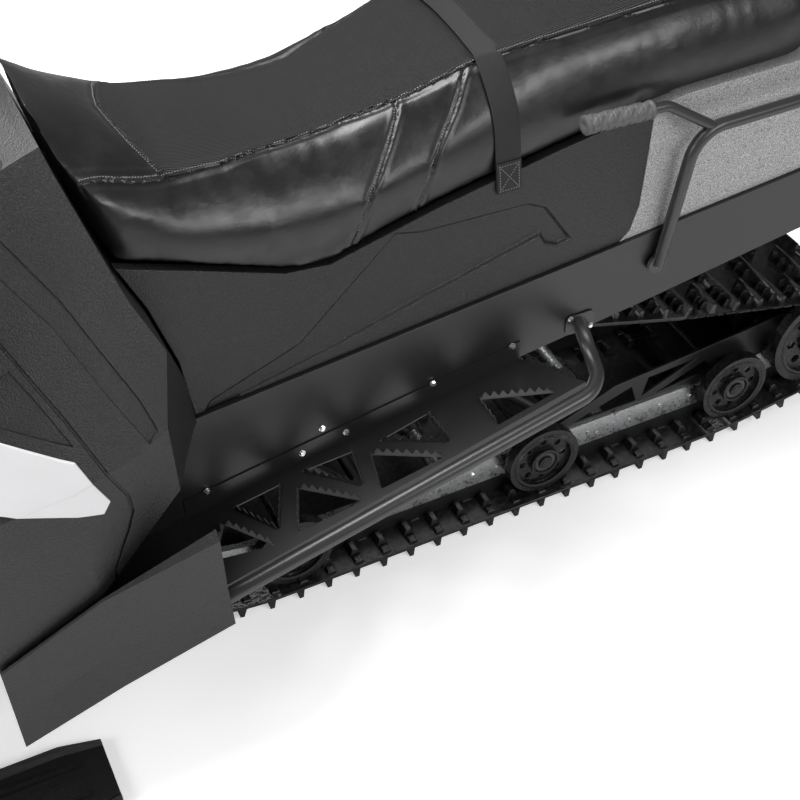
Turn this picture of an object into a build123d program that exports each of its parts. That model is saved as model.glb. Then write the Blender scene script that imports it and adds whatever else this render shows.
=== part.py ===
from build123d import *
import math
import os

os.makedirs("parts", exist_ok=True)

# Snowmobile, in millimetres. +X runs forward, +Y to the rider's left, +Z up from the ground.
# The origin is on the ground under the middle of the machine's box.
reach = 1610.0  # from the origin to the ski tips, and to the snow flap's end
overrun = 5.0  # by how far a cutting body runs past the face that it cuts
fit_gap = 0.3  # between pieces that are seated on each other

# rubber track
belt_width = 500.0
belt_thickness = 8.0
lug_height = 22.0
lug_pitch = 64.0
lug_root = 16.0
lug_tip = 9.0
lug_band_outer = 84.0  # width of the lugs along each edge of the belt
lug_band_middle = 106.0  # width of the next lugs inward

# the wheels and slides that shape the track's loop
drive_x = 500.0
drive_z = 428.0
sprocket_radius = 92.0
carrier_x = -330.0
carrier_z = 450.0
carrier_radius = 85.0
rear_axle_x = -1165.0
rear_axle_z = 188.0
rear_wheel_radius = 118.0
flat_front_x = 170.0
flat_rear_x = -860.0
nose_radius = 500.0  # the rail's slow upward curve in front
nose_turn = 16.0  # degrees of it before the tight toe
toe_radius = 160.0
heel_radius = 600.0
sag_x = -760.0  # the upper run hangs a little between carrier and rear wheel
sag_z = 410.0
sag_slope = 14.6
sag_radius = 1200.0

# slide suspension
slider_height = 38.0
rail_height = 62.0
rail_width = 16.0
rail_outer_y = 181.0
rail_tip_turn = 42.0  # degrees by which the rails curve up in front
rail_tail = 235.0  # from the rear bend to the rails' end
plate_width = 6.0
plate_height = 84.0
plate_front_x = -500.0
plate_rear_x = -1215.0
bogie_radius = 85.0
bogie_width = 26.0
bogie_outer_y = 231.0
bogie_x = (135.0, -450.0, -946.0)
bogie_lift = (0.0, 0.0, 8.0)
bogie_shaft_radius = 7.0
bogie_clearance = 3.0
wheel_rim_share = 0.80
wheel_hub_share = 0.36
wheel_window_share = 0.10
wheel_web = 8.0
wheel_cap = 7.0
window_count = 8
axle_radius = 14.0
sprocket_width = 34.0
sprocket_y = 110.0
carrier_y = 75.0
cross_tube_radius = 16.0
cross_tube_x = (-240.0, -640.0)
arm_tube_radius = 14.0
arm_y = 130.0
# columns: X of the pivot on the tunnel, its Z, X of the pivot on the rails
arm_table = ((235.0, 455.0, -70.0), (-170.0, 500.0, -560.0))
# columns: X and Z of a shock's upper eye, X of its lower eye
shock_table = ((80.0, 470.0, -240.0), (-335.0, 330.0, -640.0))
shock_shaft_radius = 9.0
shock_eye_wall = 8.0
shock_eye_width = 30.0
shock_radius = 12.0
spring_radius = 29.0
spring_start_share = 0.12
spring_end_share = 0.68

# tunnel and running boards
tunnel_half = 276.0
tunnel_sheet = 4.0
tunnel_front_x = 690.0
tunnel_rear_x = -1480.0
tunnel_top_z = 634.5  # height of the top plate over the origin
tunnel_top_slope = 0.0941
tunnel_low_z = 434.9  # height of the board's bend over the origin
board_slope = 0.158
tunnel_tail_z = 652.0  # lower edge of the side plate at its rear end
tunnel_step_x = -626.0
tunnel_step_z = 525.0
board_sheet = 3.0
board_front_x = 352.0
board_rear_x = -346.0
board_tip_x = -420.0
board_front_y = 468.0
board_tip_y = 407.0
board_lip = 14.0
board_flange = 43.0
board_tube_radius = 14.5
board_tube_bend = 70.0
board_tube_front_y = 491.0
board_tube_rear_y = 437.0
board_tube_rear_x = -438.0
foot_plate_x = -482.0
foot_plate_z = 530.0
foot_plate_size = 64.0

# foot wells
well_length = 397.0
well_outer_y = 516.0
well_wall = 5.0
well_lip = 14.0
well_slope = 46.0  # width of the outer wall's inner face, seen from above
well_crown = 15.0  # slanted face along the wall's ridge
well_flare_share = 0.36

# cowl
cowl_half = 505.0
cowl_base_z = 412.0
cowl_height = 740.0
cowl_length = 1160.0
cowl_rear_x = 290.0
cowl_wall = 6.0
seam_width = 6.0  # groove along the seam between console and side panels
seam_depth = 3.5
valley_depth = 4.0  # pressed-in strip on the console, and the field over the side trim
bay_rear_x = 700.0
bay_front_gap = 25.0  # from the engine bay's front to the cowl's nose
trim_proud = 4.0
lamp_proud = 3.0

# bulkhead, engine and front suspension
bulkhead_half = 178.0
bulkhead_plate = 6.0
bulkhead_front_x = 1170.0
bulkhead_low_z = 240.0
bulkhead_high_z = 555.0
arch_rise = 35.0  # from the bulkhead's top edge to the cowl's underside
engine_length = 330.0
engine_half = 150.0
engine_height = 330.0
engine_x = 920.0
arm_rod_radius = 10.0
pivot_radius = 15.0
ball_y = 452.0
low_ball_x = 1089.0
low_ball_z = 205.0
high_ball_x = 1060.0
high_ball_z = 350.0
low_arm_z = 270.0
high_arm_z = 405.0
low_arm_x = (900.0, 1140.0)
high_arm_x = (860.0, 1038.0)

# skis
ski_y = 485.0
ski_half_width = 92.0
ski_rear_x = 620.0
ski_pin_x = 1105.0
ski_pin_z = 92.0
ski_sole_z = 12.0
ski_thickness = 10.0
ski_edge = 14.0
ski_tip_z = 205.0
ski_rib_height = 26.0
ski_rib_half = 34.0
ski_loop_radius = 9.0
ski_keel_half = 9.0
saddle_half = 26.0

# ski steering
link_length = 60.0
link_z = 280.0
link_y = 24.0
link_plate = 10.0
link_eye = 12.0
link_pin = 5.0
link_rod = 5.5
eye_radius = 11.0
kingpin_radius = 9.0
kingpin_reach = 26.0
ring_radius = 18.0
ring_height = 44.0
upright_radius = 20.0
strut_gap = 24.0
strut_width = 24.0
strut_length = 42.0

# handlebar, its post and the dash
post_x = 640.0
post_z = 1300.0
post_slope = 0.372  # X lost for each Z gained along the post
post_length = 172.0
post_radius = 17.0
bar_radius = 11.5
bar_bend = 50.0
grip_radius = 17.0
grip_length = 125.0
bar_end_x = 545.0
bar_end_y = 375.0
bar_end_z = 1262.0
bar_mid_x = 590.0
bar_mid_y = 190.0
bar_mid_z = 1306.0
bar_flat_y = 70.0
collar_radius = 27.0
collar_height = 34.0
clamp_length = 62.0
clamp_width = 104.0
clamp_height = 46.0
dash_front_x = 800.0
dash_rear_x = 592.0
dash_half = 150.0
dash_rise = 46.0
dash_fall = 90.0
lever_radius = 6.0
lever_reach = 62.0
lever_length = 170.0
lever_clamp = 20.0
lever_clamp_width = 30.0

# windshield
shield_half = 265.0
shield_base_x = 1125.0
shield_edge_x = 1025.0
shield_base_z = 880.0
shield_top_z = 1440.0
shield_top_half = 190.0
shield_lean = 0.45
shield_sheet = 4.0

# seat and its panels
seat_half = 236.0
seat_front_x = 480.0
seat_rear_x = -1000.0
seat_low_z = 823.0
seat_height = 342.0
seat_gap = 5.0
panel_low_y = 268.0
panel_high_y = 244.0
panel_wall = 22.0
panel_relief_depth = 7.0
panel_relief_draft = 40.0  # degrees by which the relief's flanks lean out
relief_head_share = 0.16  # height on the seat at which the panel reaches its high width
panel_rear_x = -634.0
panel_foot_x = -541.0
tail_rear_x = -1140.0
tail_half = 248.0
tail_top_z = 955.0
strap_width = 44.0
strap_sheet = 4.0
strap_x = -340.0
strap_low_z = 862.0

# rear rack and passenger grips
rack_radius = 12.5
rack_y = 290.0
rack_foot_x = -645.0
rack_foot_z = 622.0
rack_tab_radius = 20.0
rack_front_x = -700.0
rack_leg_x = -1395.0
rack_bars_x = -1200.0
rack_bar_pitch = 60.0
rack_z = 905.0
rack_rear_x = -1440.0
rack_bend = 70.0
rack_bar_radius = 8.0
rack_bar_count = 4
hold_y = 272.0
hold_z = 975.0
hold_front_x = -465.0
hold_length = 140.0
hold_radius = 18.0
hold_rod_radius = 10.0
hold_rear_x = -640.0
hold_rear_z = 966.0
hold_foot_x = -735.0

# tail lamp, snow flap, bumper and skid plate
lamp_width = 190.0
lamp_height = 46.0
lamp_depth = 26.0
flap_width = 500.0
flap_sheet = 5.0
flap_low_z = 260.0
bumper_radius = 13.0
bumper_front_x = 1515.0
bumper_half = 235.0
bumper_low_z = 335.0
bumper_high_z = 480.0
bumper_bend = 70.0
pan_sheet = 5.0
pan_front_x = 1390.0
pan_front_z = 430.0


def mixed(low, high, share):
    return low + (high - low) * share


def tunnel_top(x):
    return tunnel_top_z - tunnel_top_slope * x


def board_top(x):
    return tunnel_low_z - board_slope * x


def outline(points, mode=Mode.ADD):
    with BuildLine() as line:
        Polyline(*points, close=True)
    make_face(line.edges(), mode=mode)


def side_plate(points, y_high, y_low):
    """A plate whose outline is given as X and Z, between two distances from the middle plane."""
    with BuildSketch(Plane.XZ.offset(-y_high)) as profile:
        outline(points)
    extrude(profile.sketch, amount=y_high - y_low)


def cross_sections(stations):
    """A body lofted through outlines given as Y and Z at each X."""
    sections = []
    for x, points in stations:
        with BuildSketch(Plane.YZ.offset(x)) as section:
            outline(points)
        sections.append(section.sketch)
    loft(sections, ruled=True)


def tube(points, radius, bend):
    with BuildLine() as path:
        FilletPolyline(*points, radius=bend)
    with BuildSketch(Plane(origin=path.line @ 0, z_dir=path.line % 0)) as section:
        Circle(radius)
    sweep(section.sketch, path=path.line)


def rod(start, end, radius):
    with BuildLine() as path:
        Line(start, end)
    with BuildSketch(Plane(origin=path.line @ 0, z_dir=path.line % 0)) as section:
        Circle(radius)
    sweep(section.sketch, path=path.line)


def cross_rod(x, z, radius, y_high, y_low):
    with BuildSketch(Plane.XZ.offset(-y_high)) as section:
        with Locations((x, z)):
            Circle(radius)
    extrude(section.sketch, amount=y_high - y_low)


# The loop is drawn round these circles, anticlockwise seen from the right.
# A negative radius marks the stretch that hangs, which is curved the other way.
nose_centre = Vector(flat_front_x, lug_height + belt_thickness + nose_radius)
toe_direction = math.radians(nose_turn - 90)
toe_centre = nose_centre + Vector(math.cos(toe_direction), math.sin(toe_direction)) * (nose_radius - toe_radius)
sag_direction = math.radians(90 + sag_slope)
sag_centre = Vector(sag_x, sag_z) + Vector(math.cos(sag_direction), math.sin(sag_direction)) * sag_radius
# columns: centre, radius to the belt's inner face
track_circles = [
    (Vector(flat_rear_x, lug_height + belt_thickness + heel_radius), heel_radius),
    (nose_centre, nose_radius),
    (toe_centre, toe_radius),
    (Vector(drive_x, drive_z), sprocket_radius),
    (Vector(carrier_x, carrier_z), carrier_radius),
    (sag_centre, -sag_radius),
    (Vector(rear_axle_x, rear_axle_z), rear_wheel_radius),
]


def belt_normals():
    """Outward normal of the straight run that follows each circle."""
    normals = []
    for index, (centre, radius) in enumerate(track_circles):
        next_centre, next_radius = track_circles[(index + 1) % len(track_circles)]
        gap = next_centre - centre
        along = gap.normalized()
        share = min((radius - next_radius) / gap.length, 1.0)
        aside = Vector(along.Y, -along.X)
        normals.append(along * share + aside * math.sqrt(1 - share * share))
    return normals


def belt_line(grow):
    """The loop at a distance outside the belt's inner face, drawn in the open BuildLine."""
    normals = belt_normals()
    for index, (centre, radius) in enumerate(track_circles):
        before, after = normals[index - 1], normals[index]
        size = radius + grow
        middle = (before + after).normalized()
        ThreePointArc(centre + before * size, centre + middle * size, centre + after * size)
        next_centre, next_radius = track_circles[(index + 1) % len(track_circles)]
        start = centre + after * size
        end = next_centre + after * (next_radius + grow)
        if (end - start).length > fit_gap:
            Line(start, end)


def belt_ring(outside, inside):
    with BuildLine() as outer:
        belt_line(outside)
    make_face(outer.edges())
    with BuildLine() as inner:
        belt_line(inside)
    make_face(inner.edges(), mode=Mode.SUBTRACT)


def turn_between(first, second):
    return math.atan2(first.X * second.Y - first.Y * second.X, first.dot(second))


def belt_places(count, grow):
    """Evenly spaced places round the loop, each a point and the outward normal there."""
    normals = belt_normals()
    runs = []
    for index, (centre, radius) in enumerate(track_circles):
        before, after = normals[index - 1], normals[index]
        next_centre, next_radius = track_circles[(index + 1) % len(track_circles)]
        size = radius + grow
        turn = turn_between(before, after)
        straight = (next_centre + after * (next_radius + grow) - centre - after * size).length
        runs.append((centre, size, before, turn, after, straight))
    total = sum(size * turn + straight for centre, size, before, turn, after, straight in runs)
    places = []
    for number in range(count):
        left = total * number / count
        for centre, size, before, turn, after, straight in runs:
            if left <= size * turn:
                normal = before.rotate(Axis.Z, math.degrees(left / size))
                places.append((centre + normal * size, normal))
                break
            left -= size * turn
            if left <= straight:
                places.append((centre + after * size + Vector(-after.Y, after.X) * left, after))
                break
            left -= straight
    return places, total


loop_length = belt_places(1, belt_thickness)[1]
lug_count = 2 * round(loop_length / lug_pitch / 2)
lug_places = belt_places(lug_count, belt_thickness)[0]
lug_sink = belt_thickness / 4


def lug(point, normal):
    along = Vector(-normal.Y, normal.X)
    foot = point - normal * lug_sink
    head = point + normal * lug_height
    outline(
        [
            foot - along * (lug_root / 2),
            foot + along * (lug_root / 2),
            head + along * (lug_tip / 2),
            head - along * (lug_tip / 2),
        ]
    )


def belt_band(y_high, width, places):
    with BuildSketch(Plane.XZ.offset(-y_high)) as band:
        belt_ring(belt_thickness, 0)
        for point, normal in places:
            lug(point, normal)
    extrude(band.sketch, amount=width)


with BuildPart() as track:
    belt_half = belt_width / 2
    middle_start = belt_half - lug_band_outer
    centre_start = middle_start - lug_band_middle
    belt_band(belt_half, lug_band_outer, lug_places)
    belt_band(middle_start, lug_band_middle, lug_places[::2])
    belt_band(centre_start, 2 * centre_start, lug_places[1::2])
    belt_band(-centre_start, lug_band_middle, lug_places[::2])
    belt_band(-middle_start, lug_band_outer, lug_places)
track.part.label = "track"
export_step(track.part, "parts/track.step")


def rail_line(depth):
    """The lower run from the rails' rear end to their tip, at a depth inside the belt."""
    normals = belt_normals()
    (heel_centre, heel_size), (nose_middle, nose_size), (toe_middle, toe_size) = track_circles[:3]
    first, second, third = normals[-1], normals[0], normals[1]
    tip = Vector(0, -1).rotate(Axis.Z, rail_tip_turn)
    heel = heel_size - depth
    nose = nose_size - depth
    toe = toe_size - depth
    heel_start = heel_centre + first * heel
    Line(heel_start + Vector(first.Y, -first.X) * rail_tail, heel_start)
    ThreePointArc(heel_start, heel_centre + (first + second).normalized() * heel, heel_centre + second * heel)
    Line(heel_centre + second * heel, nose_middle + second * nose)
    ThreePointArc(
        nose_middle + second * nose,
        nose_middle + (second + third).normalized() * nose,
        nose_middle + third * nose,
    )
    ThreePointArc(
        toe_middle + third * toe,
        toe_middle + (third + tip).normalized() * toe,
        toe_middle + tip * toe,
    )
    return heel_start + Vector(first.Y, -first.X) * rail_tail, toe_middle + tip * toe


def rail_profile(low_depth, high_depth):
    with BuildLine() as line:
        low_rear, low_tip = rail_line(low_depth)
        high_rear, high_tip = rail_line(high_depth)
        Line(low_rear, high_rear)
        Line(low_tip, high_tip)
    make_face(line.edges())


belt_floor = lug_height + belt_thickness
rail_low = slider_height
rail_high = slider_height + rail_height
rail_inner_y = rail_outer_y - rail_width
rail_top_z = belt_floor + rail_high
cross_tube_z = belt_floor + rail_low + rail_height / 2
bogie_places = [(x, belt_floor + lift + bogie_radius + bogie_clearance) for x, lift in zip(bogie_x, bogie_lift)]

with BuildPart() as sliders:
    for side in (1, -1):
        with BuildSketch(Plane.XZ.offset(-side * (rail_outer_y - rail_width / 2))) as slider_face:
            rail_profile(fit_gap, rail_low - fit_gap)
        extrude(slider_face.sketch, amount=rail_width / 2, both=True)
sliders.part.label = "sliders"
export_step(sliders.part, "parts/sliders.step")

with BuildPart() as slide_rails:
    for side in (1, -1):
        with BuildSketch(Plane.XZ.offset(-side * (rail_outer_y - rail_width / 2))) as rail_face:
            rail_profile(rail_low, rail_high)
            for x, z in bogie_places:
                with Locations((x, z)):
                    Circle(bogie_shaft_radius + fit_gap, mode=Mode.SUBTRACT)
        extrude(rail_face.sketch, amount=rail_width / 2, both=True)
    for x in cross_tube_x:
        cross_rod(x, cross_tube_z, cross_tube_radius, rail_inner_y, -rail_inner_y)
slide_rails.part.label = "slide_rails"
export_step(slide_rails.part, "parts/slide_rails.step")

# Pressed plates stand on the rails and carry the rear axle.
# columns: share of the plate's length from its rear end, height over the rails' top
plate_length = plate_front_x - plate_rear_x
plate_top_shares = ((1.0, 0.20), (0.78, 0.93), (0.515, 1.09), (0.16, 1.36), (0.05, 1.30), (0.0, 0.95))
plate_window_shares = (
    ((0.93, 0.12), (0.72, 0.68), (0.70, 0.12)),
    ((0.68, 0.20), (0.66, 0.80), (0.48, 0.88)),
    ((0.63, 0.12), (0.44, 0.72), (0.42, 0.30)),
)


def over_rail(along, up):
    return (plate_rear_x + plate_length * along, rail_top_z + fit_gap + plate_height * up)


with BuildPart() as rail_plates:
    for side in (1, -1):
        with BuildSketch(Plane.XZ.offset(-side * (rail_outer_y - rail_width / 2))) as plate_face:
            outline(
                [over_rail(1.0, 0.0)]
                + [over_rail(along, up) for along, up in plate_top_shares]
                + [(plate_rear_x, rear_axle_z - axle_radius), (flat_rear_x, rail_top_z + fit_gap)]
            )
            for window in plate_window_shares:
                outline([over_rail(along, up) for along, up in window], Mode.SUBTRACT)
            with BuildLine() as tail_line:
                low_rear, low_tip = rail_line(rail_low)
                high_rear, high_tip = rail_line(rail_high + fit_gap)
                Line(low_rear, high_rear)
                Line(low_tip, high_tip)
            make_face(tail_line.edges(), mode=Mode.SUBTRACT)
            with Locations((rear_axle_x, rear_axle_z)):
                Circle(axle_radius + fit_gap, mode=Mode.SUBTRACT)
        extrude(plate_face.sketch, amount=plate_width / 2, both=True)
rail_plates.part.label = "rail_plates"
export_step(rail_plates.part, "parts/rail_plates.step")


def wheel(x, z, radius, y_outer, width, cap):
    """A spoked wheel about a shaft along Y. Its cap points away from the middle of the machine."""
    side = 1 if y_outer > 0 else -1
    face = Plane(origin=(x, y_outer, z), x_dir=(1, 0, 0), z_dir=(0, side, 0))
    with BuildSketch(face) as rim:
        Circle(radius)
        Circle(radius * wheel_rim_share, mode=Mode.SUBTRACT)
    extrude(rim.sketch, amount=-width)
    with BuildSketch(face.offset(-width / 2)) as web:
        Circle(radius * wheel_rim_share)
        with PolarLocations(radius * (wheel_rim_share + wheel_hub_share) / 2, window_count):
            RegularPolygon(radius * wheel_window_share, 6, mode=Mode.SUBTRACT)
    extrude(web.sketch, amount=wheel_web / 2, both=True)
    with BuildSketch(face) as hub:
        Circle(radius * wheel_hub_share)
    extrude(hub.sketch, amount=-width)
    with BuildSketch(face) as nose:
        Circle(radius * wheel_hub_share / 2)
    extrude(nose.sketch, amount=cap)


with BuildPart() as bogie_wheels:
    for x, z in bogie_places:
        cross_rod(x, z, bogie_shaft_radius, bogie_outer_y, -bogie_outer_y)
        for side in (1, -1):
            wheel(x, z, bogie_radius, side * bogie_outer_y, bogie_width, wheel_cap)
bogie_wheels.part.label = "bogie_wheels"
export_step(bogie_wheels.part, "parts/bogie_wheels.step")

with BuildPart() as rear_axle:
    cross_rod(rear_axle_x, rear_axle_z, axle_radius, bogie_outer_y, -bogie_outer_y)
    for side in (1, -1):
        wheel(rear_axle_x, rear_axle_z, rear_wheel_radius - fit_gap, side * bogie_outer_y, bogie_width, wheel_cap)
        wheel(rear_axle_x, rear_axle_z, rear_wheel_radius - fit_gap, side * carrier_y, bogie_width, 0.1 * wheel_cap)
rear_axle.part.label = "rear_axle"
export_step(rear_axle.part, "parts/rear_axle.step")

tunnel_inner = tunnel_half - tunnel_sheet

with BuildPart() as drive_axle:
    cross_rod(drive_x, drive_z, axle_radius, tunnel_inner, -tunnel_inner)
    for side in (1, -1):
        wheel(drive_x, drive_z, sprocket_radius - fit_gap, side * sprocket_y, sprocket_width, 0.1 * wheel_cap)
drive_axle.part.label = "drive_axle"
export_step(drive_axle.part, "parts/drive_axle.step")

with BuildPart() as carrier_axle:
    cross_rod(carrier_x, carrier_z, axle_radius, tunnel_inner, -tunnel_inner)
    for side in (1, -1):
        wheel(carrier_x, carrier_z, carrier_radius - fit_gap, side * carrier_y, bogie_width, 0.1 * wheel_cap)
carrier_axle.part.label = "carrier_axle"
export_step(carrier_axle.part, "parts/carrier_axle.step")

with BuildPart() as swing_arms:
    for top_x, top_z, low_x in arm_table:
        cross_rod(top_x, top_z, arm_tube_radius, tunnel_inner - fit_gap, fit_gap - tunnel_inner)
        cross_rod(low_x, cross_tube_z, arm_tube_radius, rail_inner_y - fit_gap, fit_gap - rail_inner_y)
        for side in (1, -1):
            rod((top_x, side * arm_y, top_z), (low_x, side * arm_y, cross_tube_z), arm_tube_radius)
    (front_top_x, front_top_z, _), (rear_top_x, rear_top_z, _) = shock_table
    cross_rod(front_top_x, front_top_z, shock_shaft_radius, tunnel_inner - fit_gap, fit_gap - tunnel_inner)
    cross_rod(rear_top_x, rear_top_z, shock_shaft_radius, arm_y, -arm_y)
swing_arms.part.label = "swing_arms"
export_step(swing_arms.part, "parts/swing_arms.step")


def shock(top, low):
    """A damper with its spring, between two eyes."""
    way = Vector(*low) - Vector(*top)
    rod(top, low, shock_radius)
    rod(
        Vector(*top) + way * spring_start_share,
        Vector(*top) + way * spring_end_share,
        spring_radius,
    )


with BuildPart() as track_shocks:
    for top_x, top_z, low_x in shock_table:
        shock((top_x, 0, top_z), (low_x, 0, cross_tube_z))
        for x, z, shaft in ((top_x, top_z, shock_shaft_radius), (low_x, cross_tube_z, cross_tube_radius)):
            eye_half = shock_eye_width / 2
            cross_rod(x, z, shaft + shock_eye_wall, eye_half, -eye_half)
            with BuildSketch(Plane.XZ) as eye_hole:
                with Locations((x, z)):
                    Circle(shaft + fit_gap)
            extrude(eye_hole.sketch, amount=spring_radius, both=True, mode=Mode.SUBTRACT)
track_shocks.part.label = "track_shocks"
export_step(track_shocks.part, "parts/track_shocks.step")

with BuildPart() as tunnel:
    side_plate(
        [
            (tunnel_front_x, board_top(tunnel_front_x)),
            (tunnel_front_x, tunnel_top(tunnel_front_x)),
            (tunnel_rear_x, tunnel_top(tunnel_rear_x)),
            (tunnel_rear_x, tunnel_tail_z),
            (tunnel_step_x, tunnel_step_z),
            (board_rear_x, board_top(board_rear_x)),
        ],
        tunnel_half,
        -tunnel_half,
    )
    with BuildSketch(Plane.XZ) as channel:
        outline(
            [
                (tunnel_front_x + overrun, 0),
                (tunnel_front_x + overrun, tunnel_top(tunnel_front_x + overrun) - tunnel_sheet),
                (tunnel_rear_x - overrun, tunnel_top(tunnel_rear_x - overrun) - tunnel_sheet),
                (tunnel_rear_x - overrun, 0),
            ]
        )
    extrude(channel.sketch, amount=tunnel_inner, both=True, mode=Mode.SUBTRACT)
tunnel.part.label = "tunnel"
export_step(tunnel.part, "parts/tunnel.step")

# Running boards lie in a plane that rises towards the rear.
board_plane = Plane(
    origin=(0, 0, tunnel_low_z),
    x_dir=(1, 0, -board_slope),
    z_dir=(board_slope, 0, 1),
)
board_stretch = math.hypot(1, board_slope)
board_length = board_front_x - board_tip_x
board_width = board_front_y - tunnel_half
flange_rear_x = board_rear_x - board_sheet
# three corners each: share of the board's length from its rear tip, share of its width from the tunnel
board_window_shares = (
    ((0.929, 0.30), (0.985, 0.66), (0.848, 0.82)),
    ((0.892, 0.16), (0.766, 0.15), (0.823, 0.67)),
    ((0.734, 0.30), (0.786, 0.80), (0.619, 0.80)),
    ((0.708, 0.12), (0.580, 0.17), (0.601, 0.63)),
    ((0.542, 0.31), (0.567, 0.77), (0.397, 0.755)),
    ((0.509, 0.20), (0.371, 0.146), (0.365, 0.61)),
    ((0.243, 0.27), (0.244, 0.69), (0.075, 0.63)),
)


def on_board(x, y):
    return (x * board_stretch, y)


def board_share(along, across):
    return on_board(board_tip_x + board_length * along, tunnel_half + board_width * across)


for side_name, side in (("left", 1), ("right", -1)):
    with BuildPart() as footboard:
        with BuildSketch(board_plane) as board_face:
            outline(
                [
                    on_board(board_front_x, side * tunnel_half),
                    on_board(board_front_x, side * board_front_y),
                    on_board(board_tip_x, side * board_tip_y),
                    on_board(board_rear_x, side * tunnel_half),
                ]
            )
            for window in board_window_shares:
                corners = [board_share(along, across) for along, across in window]
                outline([(u, side * v) for u, v in corners], Mode.SUBTRACT)
        extrude(board_face.sketch, amount=-board_sheet)
        with BuildSketch(board_plane) as lip_face:
            outline(
                [
                    on_board(board_front_x, side * board_front_y),
                    on_board(board_front_x, side * (board_front_y - board_sheet)),
                    on_board(board_tip_x, side * (board_tip_y - board_sheet)),
                    on_board(board_tip_x, side * board_tip_y),
                ]
            )
        extrude(lip_face.sketch, amount=-board_lip)
        with BuildSketch(Plane.XZ.offset(-side * tunnel_half)) as flange_face:
            outline(
                [
                    (board_front_x, board_top(board_front_x) - board_sheet),
                    (board_front_x, board_top(board_front_x) + board_flange),
                    (flange_rear_x, board_top(flange_rear_x) + board_flange),
                    (flange_rear_x, board_top(flange_rear_x) - board_sheet),
                ]
            )
        extrude(flange_face.sketch, amount=-side * board_sheet)
    footboard.part.label = "footboard_" + side_name
    export_step(footboard.part, f"parts/footboard_{side_name}.step")

with BuildPart() as board_tubes:
    for side in (1, -1):
        tube(
            [
                (board_front_x, side * board_tube_front_y, board_top(board_front_x)),
                (board_tube_rear_x, side * board_tube_rear_y, board_top(board_tube_rear_x)),
                (foot_plate_x, side * tunnel_half, foot_plate_z),
            ],
            board_tube_radius,
            board_tube_bend,
        )
        with BuildSketch(Plane.XZ.offset(-side * tunnel_half)) as foot_face:
            with Locations((foot_plate_x, foot_plate_z)):
                RectangleRounded(foot_plate_size, foot_plate_size * 0.7, foot_plate_size * 0.2)
        extrude(foot_face.sketch, amount=-side * tunnel_sheet)
    with BuildSketch(Plane.XZ) as tunnel_zone:
        with Locations((foot_plate_x, foot_plate_z)):
            Rectangle(2 * foot_plate_size, 2 * foot_plate_size)
    extrude(tunnel_zone.sketch, amount=tunnel_half + fit_gap, both=True, mode=Mode.SUBTRACT)
board_tubes.part.label = "board_tubes"
export_step(board_tubes.part, "parts/board_tubes.step")

# Foot wells: floor, outer wall, toe wall and a flared lower edge in one moulding.
# columns: share of the well's length from its rear, top of the wall and lower edge as shares of the
# cowl's height, share of the slope and crown
well_front_x = board_front_x + well_length
well_shares = ((0.0, 0.208, -0.084, 1.0), (0.53, 0.135, -0.155, 0.22), (1.0, 0.02, -0.235, 0.22))
cowl_top_z = cowl_base_z + cowl_height

for side_name, side in (("left", 1), ("right", -1)):
    with BuildPart() as foot_well:
        stations = []
        for along, high, low, wide in well_shares:
            x = board_front_x + fit_gap + (well_length - fit_gap) * along
            floor = board_top(x)
            ridge = cowl_base_z + cowl_height * high
            edge = cowl_base_z + cowl_height * low
            flare = mixed(edge, ridge, well_flare_share)
            section = [
                (tunnel_half + fit_gap, floor),
                (well_outer_y - well_slope * wide, floor),
                (well_outer_y - well_crown * wide, ridge),
                (well_outer_y, ridge - well_crown * wide),
                (well_outer_y, flare),
                (well_outer_y + well_lip, edge),
                (well_outer_y + well_lip - well_wall, edge),
                (well_outer_y - well_wall, flare),
                (well_outer_y - well_wall, mixed(flare, ridge, 0.5)),
                (well_outer_y - well_slope * wide, floor - well_wall),
                (tunnel_half + fit_gap, floor - well_wall),
            ]
            stations.append((x, [(side * y, z) for y, z in section]))
        cross_sections(stations)
        toe_floor = board_top(well_front_x)
        with BuildSketch(Plane.YZ.offset(well_front_x)) as toe_face:
            outline(
                [
                    (side * (tunnel_half + fit_gap), toe_floor - well_wall),
                    (side * (tunnel_half + fit_gap), cowl_base_z),
                    (side * well_outer_y, cowl_base_z),
                    (side * well_outer_y, toe_floor - well_wall),
                ]
            )
        extrude(toe_face.sketch, amount=-well_wall)
    foot_well.part.label = "foot_well_" + side_name
    export_step(foot_well.part, f"parts/foot_well_{side_name}.step")

# Cowl sections. columns: share of the cowl's length from its rear, then five points from the middle
# of the top down to the lower edge, each a share of the half width and a share of the height
cowl_shares = (
    (0.0, ((0.0, 1.065), (0.30, 1.038), (0.565, 0.822), (0.762, 0.49), (0.673, 0.308))),
    (0.078, ((0.0, 1.05), (0.327, 1.018), (0.604, 0.795), (0.842, 0.45), (0.832, 0.254))),
    (0.149, ((0.0, 1.031), (0.356, 0.995), (0.634, 0.774), (0.901, 0.43), (0.901, 0.19))),
    (0.235, ((0.0, 0.997), (0.386, 0.96), (0.663, 0.747), (0.941, 0.419), (0.99, 0.115))),
    (0.396, ((0.0, 0.923), (0.406, 0.886), (0.683, 0.70), (0.97, 0.416), (1.0, 0.004))),
    (0.612, ((0.0, 0.815), (0.386, 0.781), (0.653, 0.612), (0.871, 0.389), (0.832, 0.078))),
    (0.802, ((0.0, 0.66), (0.327, 0.632), (0.554, 0.497), (0.683, 0.335), (0.594, 0.105))),
    (0.957, ((0.0, 0.47), (0.228, 0.45), (0.386, 0.362), (0.446, 0.274), (0.376, 0.146))),
    (1.0, ((0.0, 0.376), (0.158, 0.365), (0.257, 0.315), (0.297, 0.254), (0.257, 0.18))),
)
arch_half = bulkhead_half + well_wall
arch_z = bulkhead_high_z + arch_rise
# columns: share of the cowl's length, shares of the arch's half width and of its height there
underside_shares = ((0.612, 1.0, 1.0), (0.802, 0.85, 0.94), (0.957, 0.55, 0.86), (1.0, 0.40, 0.90))
under_rear_share = 0.396


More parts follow.
